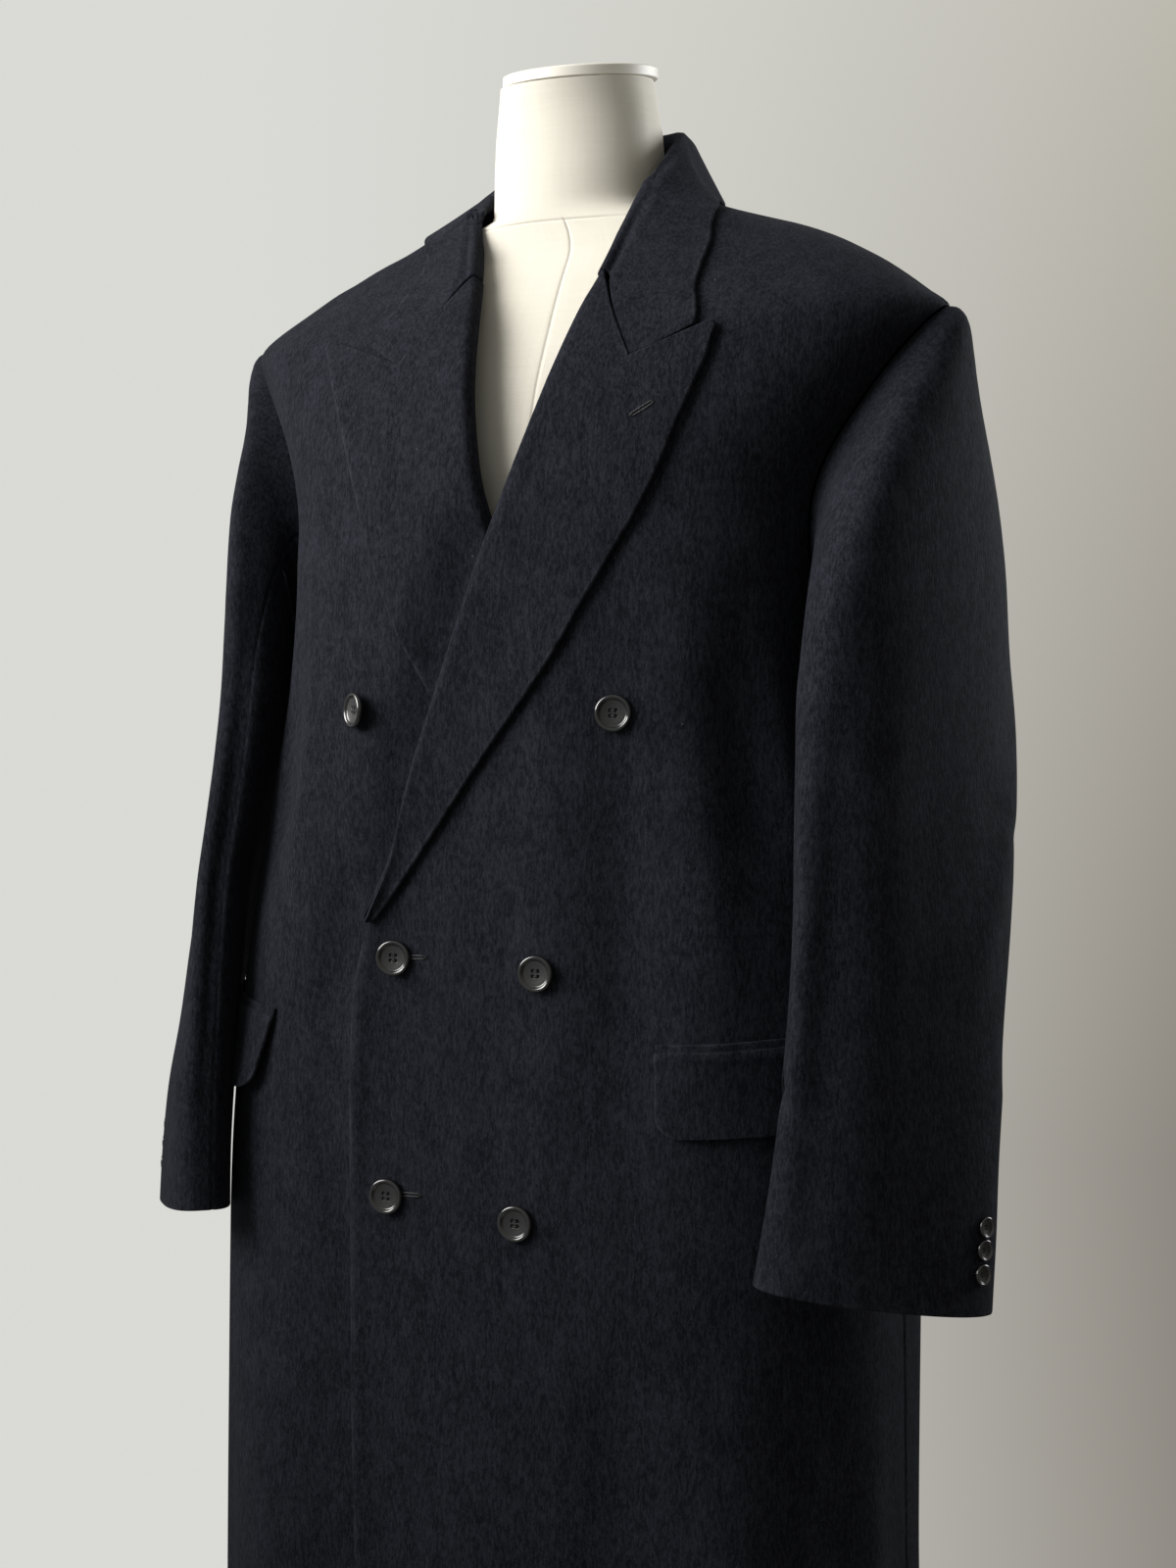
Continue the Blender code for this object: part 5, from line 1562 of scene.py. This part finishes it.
LEFT_COLLAR = CollarSide(
    Side.LEFT,
    Corners((0.0684, 1.4708), (0.1049, 1.4104), (0.1432, 1.4318)),
    (
        (0.3, 0.076, 0.026, 1.547), (0.45, 0.0765, -0.004, 1.57), (0.6, 0.07, -0.032, 1.585),
        (0.8, 0.0445, -0.074, 1.597), (1.0, 0.0, -0.093, 1.599),
    ),
    (
        (0.07, 0.312, 1.455), (0.14, 0.347, 1.478), (0.24, 0.475, 1.507), (0.38, 0.772, 1.525),
        (0.58, 1.14, 1.5345), (0.8, 1.6, 1.531), (1.0, 2.0, 1.528),
    ),
)
RIGHT_COLLAR = CollarSide(
    Side.RIGHT,
    Corners((-0.0364, 1.4748), (-0.0739, 1.4134), (-0.1095, 1.4345)),
    (
        (0.3, 0.06, 0.031, 1.531), (0.45, 0.0695, -0.004, 1.55), (0.6, 0.069, -0.032, 1.568),
        (0.8, 0.044, -0.074, 1.588), (1.0, 0.0, -0.093, 1.599),
    ),
    (
        (0.07, 0.25, 1.455), (0.15, 0.27, 1.482), (0.26, 0.35, 1.504), (0.42, 0.72, 1.5285),
        (0.6, 1.14, 1.535), (0.8, 1.6, 1.531), (1.0, 2.0, 1.528),
    ),
)


@dataclass(frozen=True)
class Pocket:
    """A flap that hangs below a narrow welt; their cuts are a length and an area."""

    body: CoatBody
    wool: Material
    side: Side
    begin: float
    stand: float
    top: float = 0.9535
    length: float = 0.143
    drop: float = 0.056
    rise: float = 0.06
    corner: float = 0.016
    cloth: float = 0.0032
    seam: float = 0.0005
    curl: float = 1.4
    calm: float = 0.8
    slant: float = 0.0
    welt_height: float = 0.005
    welt_cloth: float = 0.0022
    swell: float = 0.0009
    swell_width: float = 0.004
    welt_size: tuple[int, int] = (12, 60)
    flap_size: tuple[int, int] = (44, 90)
    welt_cut: Place = (0.0104, 0.00125)
    flap_cut: Place = (0.06, 0.0084)

    def strip(self, span: Span, stand: float, cloth: float, corner: float,
              size: tuple[int, int], rim: Rim) -> Skin:
        """A strip laid on the front, with its lower corners rounded.

        Args:
            span: How far its rows lie below the pocket's line, first and last.
            stand: How far its last row stands off the front.
            cloth: Its thickness.
            corner: Radius of its lower corners.
            size: Rows and columns.
            rim: How round its edges are.

        Returns:
            The closed sheet.
        """
        body = self.body
        first = abs(float(body.around_at(self.begin, self.top)))
        ahead = body.point(first + self.length, self.top) - body.point(first, self.top)
        per_metre = self.length / float(np.linalg.norm(ahead))
        drop = span[0] + (span[1] - span[0]) * crowded(size[0], 0.7)
        into = np.clip(drop - (span[1] - corner), 0, corner)
        inset = (corner - np.sqrt(np.maximum(corner**2 - into**2, 0.0)))[:, None] if corner else 0.0
        run = inset + (self.length - 2 * inset) * crowded(size[1], 0.6) + 0.0 * drop[:, None]
        around = self.side.value * (first + (run + self.slant * drop[:, None]) * per_metre)
        level = self.top + self.rise * run - drop[:, None]
        down = np.linspace(0, 1, size[0])[:, None] ** self.curl * (1 - self.calm * run / self.length)
        lift = self.seam + (stand - self.seam) * down
        swell = self.swell * bell(drop[:, None] - self.swell_width, self.swell_width) if corner else 0.0
        inner = body.layer(self.side, around, level, lift)
        outer = body.layer(self.side, around, level, lift + cloth + swell)
        return sheet_skin(outer, inner, rim)

    def build(self) -> list[Piece]:
        """Makes the welt and the flap."""
        word = self.side.word
        welt = self.strip((-SEAM - self.welt_height, -SEAM), self.seam, self.welt_cloth, 0.0,
                          self.welt_size, Rim(0.8, 0.8, 0.9, 0.9))
        flap = self.strip((0.0, self.drop), self.stand, self.cloth, self.corner,
                          self.flap_size, Rim(1.0, 1.0, 0.6, 1.0))
        pieces = [add_piece(f"{word}_welt_strip", welt, self.wool, Slot.WOOL, f"{word}_welt"),
                  add_piece(f"{word}_flap_leaf", flap, self.wool, Slot.WOOL, f"{word}_flap")]
        Cut(self.length, *self.welt_cut, Held.FOLDED).declare(pieces[0], f"{word}_front_cloth")
        Cut(self.length, *self.flap_cut, Held.HUNG).declare(pieces[1], f"{word}_front_cloth")
        return pieces


def across_and_up(normal: Array) -> tuple[Array, Array]:
    """Level and upward unit vectors square to a normal."""
    across = unit(np.cross(normal, UP))
    return across, np.cross(across, normal)


@dataclass(frozen=True)
class Button:
    """A turned four-hole button with a raised rim and a dished middle.

    Sizes are shares of its radius, and those along its axis shares of its thickness.
    Columns of edge: row, outwards, upwards.
    """

    radius: float
    thickness: float
    sides: int = 72
    hole_radius: float = 0.092
    hole_place: float = 0.2
    hole_depth: float = 0.42
    dish_radius: float = 0.56
    dish_depth: float = 0.1
    floor: float = 0.56
    edge: Table = (
        (0.0, 0.62, 0.0), (1.0, 0.86, 0.02), (2.0, 0.985, 0.28), (3.0, 1.0, 0.52), (4.0, 0.955, 0.86),
        (5.0, 0.88, 1.0), (6.0, 0.8, 0.94), (7.0, 0.72, 0.68), (8.0, 0.66, 0.58), (9.0, 0.56, 0.56),
    )
    bar_spread: float = 1.04
    bar_low: float = 0.2
    bar_rise: float = 0.42
    strand: float = 0.0002
    strand_shift: float = 0.00016

    def skin(self, centre: Array, normal: Array) -> Skin:
        """The button's mesh.

        Args:
            centre: The middle of its back.
            normal: The way that it faces.

        Returns:
            Rings through the edge's rounded section, then over the dished middle, where
            four holes sink by a soft step of the distance from their own middles.
        """
        across, upward = across_and_up(normal)
        out = column(self.edge, 1, np.linspace(0, 9, 34))
        up = column(self.edge, 2, np.linspace(0, 9, 34))
        out = np.concatenate([[0.2, 0.4], out, np.linspace(0.54, 0.03, 26)])
        up = np.concatenate([[0.0, 0.0], up, np.full(26, self.floor)])
        turn = circle(self.sides)
        x, y = out[:, None] * np.cos(turn), out[:, None] * np.sin(turn)
        spot = self.hole_place / math.sqrt(2)
        away = np.hypot(np.abs(x) - spot, np.abs(y) - spot)
        front = (np.arange(len(out)) > 30)[:, None]
        hole = np.where(front, 1.0 - ease(away, self.hole_radius * 0.75, self.hole_radius * 1.15), 0.0)
        dip = self.dish_depth * np.clip(1 - (out[:, None] / self.dish_radius) ** 2, 0.0, 1.0)
        level = self.thickness * (up[:, None] - np.where(front, dip, 0.0) - self.hole_depth * hole)
        face = self.radius * (x[..., None] * across + y[..., None] * upward)
        rings = centre + face + level[..., None] * normal
        share = np.broadcast_to(out[:, None], (len(out), self.sides + 1))
        angle = np.broadcast_to(np.linspace(0, 1, self.sides + 1), share.shape)
        return turned_skin(rings, np.stack([share, angle], axis=-1))

    def thread(self, centre: Array, normal: Array) -> Skin:
        """Two doubled bars of thread, whose cords rise out of one hole and dive into the next."""
        across, upward = across_and_up(normal)
        spot = self.hole_place / math.sqrt(2) * self.radius
        t = np.linspace(0, np.pi, 15)
        along = -spot * np.cos(t) * self.bar_spread
        level = self.thickness * (self.bar_low + self.bar_rise * np.sin(t) ** 0.6)
        arch = centre + along[:, None] * across + level[:, None] * normal
        cords = []
        for row in (-1, 1):
            for shift in (-self.strand_shift, self.strand_shift):
                path = arch + (row * spot + shift) * upward
                side = np.broadcast_to(upward, path.shape)
                cords.append(tube_skin(path, side, np.full(len(t), self.strand), 6))
        return cords[0].joined(*cords[1:])


@dataclass(frozen=True)
class Buttons:
    """Six buttons on the fronts and three on each cuff, sewn on with black thread.

    Front places: name, sideways, height, and the degrees by which it is turned sideways.
    """

    body: CoatBody
    sleeves: tuple[Sleeve, ...]
    polish: Material
    thread: Material
    front: Button = Button(0.0126, 0.0042)
    cuff: Button = Button(0.007, 0.0032, sides=48)
    lift: float = 0.0005
    front_places: tuple[tuple[str, float, float, float], ...] = (
        ("button_top_left", 0.1035, 1.177, 5.0),
        ("button_top_right", -0.0935, 1.176, -20.0),
        ("button_middle_left", 0.055, 1.003, 10.0),
        ("button_middle_right", -0.059, 1.006, 12.0),
        ("button_bottom_left", 0.04, 0.833, 6.0),
        ("button_bottom_right", -0.063, 0.84, 10.0),
    )
    cuff_heights: Row = (0.825, 0.84, 0.854)
    cuff_steps: Span = (20.8, 20.6)
    tilt_lift: float = 0.8

    def sew(self, name: str, shape: Button, centre: Array, normal: Array) -> list[Piece]:
        """Adds one button on the middle of its back, facing along a normal, and its thread."""
        button = add_piece(name + "_turned", shape.skin(centre, normal), self.polish, Slot.BUTTON, name)
        thread = add_piece(name + "_thread", shape.thread(centre, normal), self.thread, Slot.WOOL)
        return [button, thread]

    def build(self) -> list[Piece]:
        """Makes every button."""
        pieces = []
        body = self.body
        for name, sideways, height, yaw in self.front_places:
            around = body.around_at(sideways, height)
            side = Side.RIGHT if name == "button_top_right" else Side.LEFT
            turn = math.radians(yaw)
            stand = self.lift + self.tilt_lift * self.front.radius * abs(math.sin(turn))
            centre = body.layer(side, around, np.asarray(height), stand)
            spin = np.array(Matrix.Rotation(turn, 3, "Z"))
            pieces += self.sew(name, self.front, centre, spin @ body.normal(around, height))
        for sleeve in self.sleeves:
            step = self.cuff_steps[0] if sleeve.side is Side.LEFT else self.cuff_steps[1]
            for number, height in enumerate(self.cuff_heights, start=1):
                here, ahead = sleeve.section(np.array([step, step + 0.5]), height)
                above = sleeve.section(np.array([step]), height + self.cuff.radius)[0]
                middle = sleeve.section(np.arange(STEPS), height).mean(axis=0)
                normal = unit(np.cross(ahead - here, above - here))
                normal = normal * np.sign(normal @ (here - middle))
                centre = sleeve.mirrored(here + normal * self.lift)
                normal = normal * np.array([sleeve.side.value, 1.0, 1.0])
                name = f"{sleeve.side.word}_cuff_button_{number}"
                pieces += self.sew(name, self.cuff, centre, normal)
        return pieces


@dataclass(frozen=True)
class Buttonhole:
    """A corded buttonhole worked in close stitches: a long oval bead round a slit."""

    body: CoatBody
    thread: Material
    name: str
    start: Place
    end: Place
    lift: float
    half_width: float = 0.0011
    bead: float = 0.00062
    stitches: float = 52.0
    swell: float = 0.22
    roundness: float = 0.55
    points: int = 260

    def build(self) -> list[Piece]:
        """Makes the bead; its radius swells once for every stitch."""
        t = circle(self.points)
        start, end = np.array(self.start), np.array(self.end)
        way = end - start
        square = np.array([-way[1], way[0]]) / np.linalg.norm(way)
        along = 0.5 + 0.5 * np.sign(np.cos(t)) * np.abs(np.cos(t)) ** self.roundness
        across = self.half_width * np.sign(np.sin(t)) * np.abs(np.sin(t)) ** self.roundness
        flat = start + along[:, None] * way + across[:, None] * square
        around = self.body.around_at(flat[:, 0], flat[:, 1])
        path = self.body.layer(Side.LEFT, around, flat[:, 1], np.full(len(t), self.lift))
        normal = self.body.normal(around, flat[:, 1])
        radius = self.bead * (1 + self.swell * np.sin(self.stitches * t))
        piece = add_piece(self.name, tube_skin(path, normal, radius, 8, closed=True), self.thread, Slot.WOOL)
        return [piece]


@dataclass(frozen=True)
class DressForm:
    """The linen-covered torso and neck, with panel seams, and its turned neck cap.

    Columns of sections: height, half width, front depth, back depth, squareness.
    """

    body: CoatBody
    linen: Material
    enamel: Material
    sections: Table = (
        (0.76, 0.15, 0.104, 0.112, 2.3), (0.79, 0.168, 0.114, 0.122, 2.3),
        (0.87, 0.177, 0.117, 0.127, 2.3), (0.96, 0.165, 0.11, 0.115, 2.3),
        (1.06, 0.141, 0.101, 0.102, 2.2), (1.16, 0.152, 0.112, 0.108, 2.2),
        (1.26, 0.166, 0.119, 0.116, 2.3), (1.33, 0.171, 0.115, 0.118, 2.4),
        (1.39, 0.182, 0.103, 0.113, 2.4), (1.44, 0.19, 0.083, 0.103, 2.4),
        (1.48, 0.189, 0.062, 0.096, 2.2), (1.498, 0.179, 0.05, 0.092, 2.1),
        (1.506, 0.169, 0.048, 0.09, 2.1), (1.5132, 0.148, 0.0465, 0.088, 2.0),
        (1.5215, 0.114, 0.0455, 0.085, 2.0), (1.528, 0.072, 0.0445, 0.0825, 2.0),
        (1.538, 0.0615, 0.044, 0.082, 2.0), (1.558, 0.0612, 0.043, 0.082, 2.0),
        (1.577, 0.0606, 0.042, 0.0805, 2.0), (1.6, 0.0585, 0.0425, 0.076, 2.0),
        (1.625, 0.055, 0.0455, 0.065, 2.0),
    )
    seams: Row = (0.085, 0.56, 1.085, 1.62, -1.915, -1.46, -0.915, -0.39)
    neck_seam: float = 1.5195
    groove: float = 0.0008
    seam_width: float = 0.0036
    neck_seam_width: float = 0.0008
    seam_fan: Row = (-0.02, -0.012, -0.007, -0.0035, 0.0, 0.0035, 0.007, 0.012, 0.02)
    seam_end: Span = (1.5185, 1.5225)
    root: Span = (1.528, 1.56)
    tilt_rise: Span = (1.56, 1.625)
    tilt: float = 0.13
    neck_middle: float = 0.0098
    cap_radius: float = 0.056
    cap_height: float = 0.0085
    cap_profile: Table = (
        (0.6, 0.0), (0.94, 0.0), (0.985, 0.04), (1.0, 0.14), (1.0, 0.5), (1.0, 0.84), (0.988, 0.94),
        (0.96, 1.0), (0.93, 1.02), (0.9, 1.0), (0.86, 0.99), (0.5, 1.06), (0.12, 1.09),
    )

    def torso(self) -> Skin:
        """The torso and neck: superellipse rings with sunk seams, the neck's top tilted."""
        fan = np.array(self.seam_fan)
        turn = np.concatenate([np.arange(-2, 2, 4 / 96), (np.array(self.seams)[:, None] + fan).ravel()])
        turn = np.unique(np.round(turn, 5))
        rows = np.concatenate([np.linspace(self.sections[0][0], self.sections[-1][0], 130),
                               self.neck_seam + fan * 0.16])
        height = np.unique(np.round(rows, 6))[:, None]
        width, front, back, square = (column(self.sections, k, height) for k in range(1, 5))
        away = np.abs((turn[None] - np.array(self.seams)[:, None] + 2) % 4 - 2).min(axis=0)
        sink = self.groove * bell(away, self.seam_width)[None] * (1 - ease(height, *self.seam_end))
        sink = sink + self.groove * bell(height - self.neck_seam, self.neck_seam_width)
        angle = turn[None] * np.pi / 2
        push = bulge(angle, square)
        side = (width - sink) * np.sin(angle) * push
        depth = np.where(np.cos(angle) > 0, front, back) - sink
        ahead = -depth * np.cos(angle) * push
        level = height + self.tilt * ease(height, *self.tilt_rise) * (ahead - self.neck_middle)
        level = level - self.body.drop(turn[None], height) * (1 - ease(height, *self.root))
        rings = np.stack([side, ahead, level], axis=-1)
        shut = np.concatenate([rings, rings[:, :1]], axis=1)
        along = run_along(shut, 1)
        front = int(np.abs(turn - self.seams[0]).argmin())
        places = np.stack([along - along[:, front:front + 1], shut[..., 2]], axis=-1)
        return turned_skin(rings, places)

    def cap(self) -> Skin:
        """The neck cap: a turned disc with a rolled edge and a shallow dome, tilted."""
        out, up, turn = turned_profile(self.cap_profile, 70, 128)
        ahead = self.cap_radius * out * np.sin(turn)
        level = self.sections[-1][0] + SEAM + self.cap_height * up + self.tilt * ahead
        side = self.cap_radius * out * np.cos(turn)
        return turned_skin(np.stack([side, self.neck_middle + ahead, level], axis=-1))

    def build(self) -> list[Piece]:
        """Makes the torso and the cap."""
        return [add_piece("form_torso_cover", self.torso(), self.linen, Slot.LINEN, "form_torso"),
                add_piece("neck_cap_turned", self.cap(), self.enamel, Slot.CAP, "neck_cap")]


@dataclass(frozen=True)
class Stand:
    """The round foot and its pole, turned in one, with a collar where they meet."""

    metal: Material
    foot_radius: float = 0.2
    pole_radius: float = 0.014
    pole_top: float = 0.7597

    def build(self) -> list[Piece]:
        """Makes the stand: its section turned about the upright axis."""
        foot, pole = self.foot_radius, self.pole_radius
        profile = (
            (0.1, 0.0), (foot - 0.004, 0.0), (foot - 0.0012, 0.001), (foot, 0.0035), (foot, 0.011),
            (foot - 0.0015, 0.014), (foot - 0.006, 0.0162), (foot * 0.75, 0.0175), (foot * 0.4, 0.0195),
            (0.04, 0.0208), (0.034, 0.0225), (0.032, 0.03), (0.03, 0.033), (pole + 0.004, 0.0345),
            (pole, 0.038), (pole, 0.2), (pole, 0.45), (pole, self.pole_top - 0.002),
            (pole * 0.9, self.pole_top),
        )
        out, level, turn = turned_profile(profile, 150, 144)
        rings = np.stack([out * np.cos(turn), out * np.sin(turn), level + 0.0 * turn], axis=-1)
        return [add_piece("form_stand_turned", turned_skin(rings), self.metal, Slot.STAND, "form_stand")]


# ---- the studio


def stand_up(name: str, data: bpy.types.ID, columns: Sequence[Array]) -> Piece:
    """Adds a camera or a light; its columns are right, up, the way behind it, and its place."""
    made = new_object(name, data)
    turn = np.eye(4)
    turn[:3, :4] = np.column_stack(columns)
    made.matrix_world = Matrix(turn.tolist())
    return made


@dataclass(frozen=True)
class Studio:
    """Camera, soft window light from the viewer's left, pale wall tones and floor.

    A light's place is how far it hangs to the viewer's right of its aim, ahead and above.
    """

    azimuth: float = 28.0
    distance: float = 1.72
    aside: float = 0.01
    eye: float = 1.227
    drop: float = 150.0 / 2400.0
    lens: float = 54.0
    key_power: float = 28.0
    key_size: float = 1.8
    fill_power: float = 15.0
    bounce: float = 0.46
    spread: float = 76.0
    key_place: Row = (-1.7, -0.4, 0.52)
    fill_place: Row = (2.0, 1.0, 0.2)
    fill_size: float = 1.6
    aim: float = 1.8
    pale_wall: Colour = (0.7, 0.705, 0.67)
    dark_wall: Colour = (0.02, 0.0, 0.0)
    warm_wall: Colour = (1.0, 0.955, 0.865)
    floor_radius: float = 1.15

    def ways(self) -> tuple[Array, Array]:
        """The level directions to the right and ahead, as the camera sees them."""
        a = math.radians(self.azimuth)
        return np.array([math.cos(a), math.sin(a), 0.0]), np.array([-math.sin(a), math.cos(a), 0.0])

    def camera(self) -> None:
        """Places the camera, tipped slightly down."""
        right, ahead = self.ways()
        pitch = math.atan(self.drop)
        look = ahead * math.cos(pitch) - UP * math.sin(pitch)
        up = np.cross(right, look)
        place = right * self.aside - ahead * self.distance + UP * self.eye
        data = bpy.data.cameras.new("camera")
        data.lens, data.sensor_width, data.sensor_fit = self.lens, 36.0, "AUTO"
        bpy.context.scene.camera = stand_up("camera", data, (right, up, -look, place))

    def area(self, name: str, place: Array, target: Array, power: float, size: float, colour: Colour) -> None:
        """Adds a soft square light.

        Args:
            name: The light's name.
            place: Where it hangs.
            target: What it faces.
            power: Watts.
            size: Side of the square.
            colour: Its colour.
        """
        data = bpy.data.lights.new(name, "AREA")
        data.energy, data.size, data.color, data.shape = power, size, colour, "SQUARE"
        data.spread = math.radians(self.spread)
        ahead = unit(target - place)
        side, up = across_and_up(ahead)
        stand_up(name, data, (side, up, -ahead, place))

    def lights(self) -> None:
        """The window light and a faint fill from the other side."""
        ways = np.array([*self.ways(), UP])
        target = UP * self.aim
        key, fill = target + self.key_place @ ways, target + self.fill_place @ ways
        self.area("window", key, target, self.key_power, self.key_size, (1.0, 0.985, 0.955))
        self.area("fill", fill, target, self.fill_power, self.fill_size, (0.96, 0.98, 1.0))

    def wall(self) -> None:
        """Pale grey all round, brightest towards the window, and dimmer as it lights the cloth."""
        world = bpy.data.worlds.new("wall")
        world.use_nodes = True
        bpy.context.scene.world = world
        nodes = Nodes(world.node_tree)
        right, _ = self.ways()
        look = nodes.node("TexCoord", {}, {}, "Generated")
        leftward = nodes.node("VectorMath", {"operation": "DOT_PRODUCT"},
                              {0: look, 1: tuple(-right)}, "Value")
        _, _, high = nodes.parts(look)
        reach = (((0.15 - leftward) / 0.4).at_least(0.0) ** 1.5).at_most(1.0)
        deep = (0.5 - high * 0.75).at_most(0.66).at_least(0.16)
        colour = nodes.blend(reach * deep, self.pale_wall, self.dark_wall)
        colour = nodes.blend(reach * 0.75, colour, self.warm_wall, "MULTIPLY")
        background = world.node_tree.nodes["Background"]
        nodes.tree.links.new(colour.link, background.inputs["Color"])
        seen = nodes.node("LightPath", {}, {}, "Is Camera Ray")
        lit = (0.9 + high * 0.35) * self.bounce
        strength = seen + (1.0 - seen) * lit
        nodes.tree.links.new(strength.link, background.inputs["Strength"])

    def floor(self) -> None:
        """A round floor, which isn't part of the object."""
        radius = np.linspace(0.02, self.floor_radius, 40)[:, None]
        turn = circle(96)
        rings = np.stack([radius * np.cos(turn), radius * np.sin(turn), 0.0 * radius * turn], axis=-1)
        skin = turned_skin(rings)
        mesh = bpy.data.meshes.new("floor")
        keep = skin.faces[0].tolist() + [triangle[::-1] for triangle in skin.faces[1].tolist()]
        mesh.from_pydata(skin.points.tolist(), [], keep)
        mesh.materials.append(FloorFinish().build())
        new_object("floor", mesh)

    def build(self) -> None:
        """Sets up the whole studio."""
        bpy.context.scene.view_settings.view_transform = "Standard"
        self.camera()
        self.lights()
        self.wall()
        self.floor()


def main() -> None:
    """Builds the studio and every piece of the coat and its form."""
    logging.basicConfig(level=logging.INFO, format="%(message)s")
    Studio().build()
    body = CoatBody()
    wool, thread, polish = WoolFinish().build(), ThreadFinish().build(), ButtonFinish().build()
    cap = EnamelFinish("cap_enamel_satin", (0.78, 0.755, 0.69), (0.66, 0.63, 0.55), 0.42).build()
    metal = EnamelFinish("stand_enamel", (0.6, 0.585, 0.555), (0.47, 0.455, 0.43), 0.4, 0.35).build()
    sleeves = (Sleeve(body, wool, Side.LEFT, LEFT_SLEEVE, LEFT_CREASES),
               Sleeve(body, wool, Side.RIGHT, RIGHT_SLEEVE, RIGHT_CREASES, squareness=3.0))
    left = Lapel(body, wool, Side.LEFT,
                 ((0.154, 1.41), (0.139, 1.367), (0.1215, 1.322), (0.0835, 1.253), (0.056, 1.207),
                  (0.0125, 1.149), (-0.044, 1.072)),
                 Corners((0.068, 1.47), (0.1045, 1.41), (0.158, 1.4345)), 0.004)
    right = Lapel(body, wool, Side.RIGHT,
                  ((-0.133, 1.408), (-0.12, 1.38), (-0.1095, 1.355), (-0.0955, 1.318), (-0.074, 1.266),
                   (-0.031, 1.179), (0.022, 1.098)),
                  Corners((-0.036, 1.474), (-0.0735, 1.413), (-0.1475, 1.4395)), 0.0024, lift=0.0022)
    assemblies = (
        DressForm(body, LinenFinish().build(), cap),
        Stand(metal),
        Panels(body, wool),
        *sleeves,
        left,
        right,
        Collar(body, wool, (LEFT_COLLAR, RIGHT_COLLAR)),
        Pocket(body, wool, Side.LEFT, 0.137, 0.0016),
        Pocket(body, wool, Side.RIGHT, -0.175, 0.011, slant=0.2),
        Buttons(body, sleeves, polish, thread),
        Buttonhole(body, thread, "lapel_buttonhole", (0.1107, 1.3709), (0.1252, 1.38), 0.0052),
        Buttonhole(body, thread, "front_buttonhole_middle", (-0.061, 1.0065), (-0.0342, 1.0075), 0.0002),
        Buttonhole(body, thread, "front_buttonhole_bottom", (-0.065, 0.8415), (-0.0364, 0.843), 0.0002),
    )
    count = 0
    for assembly in assemblies:
        pieces = assembly.build()
        count += len(pieces)
        LOG.info("%s: %d pieces", type(assembly).__name__, len(pieces))
    LOG.info("%d pieces in all", count)


if __name__ == "__main__":
    main()
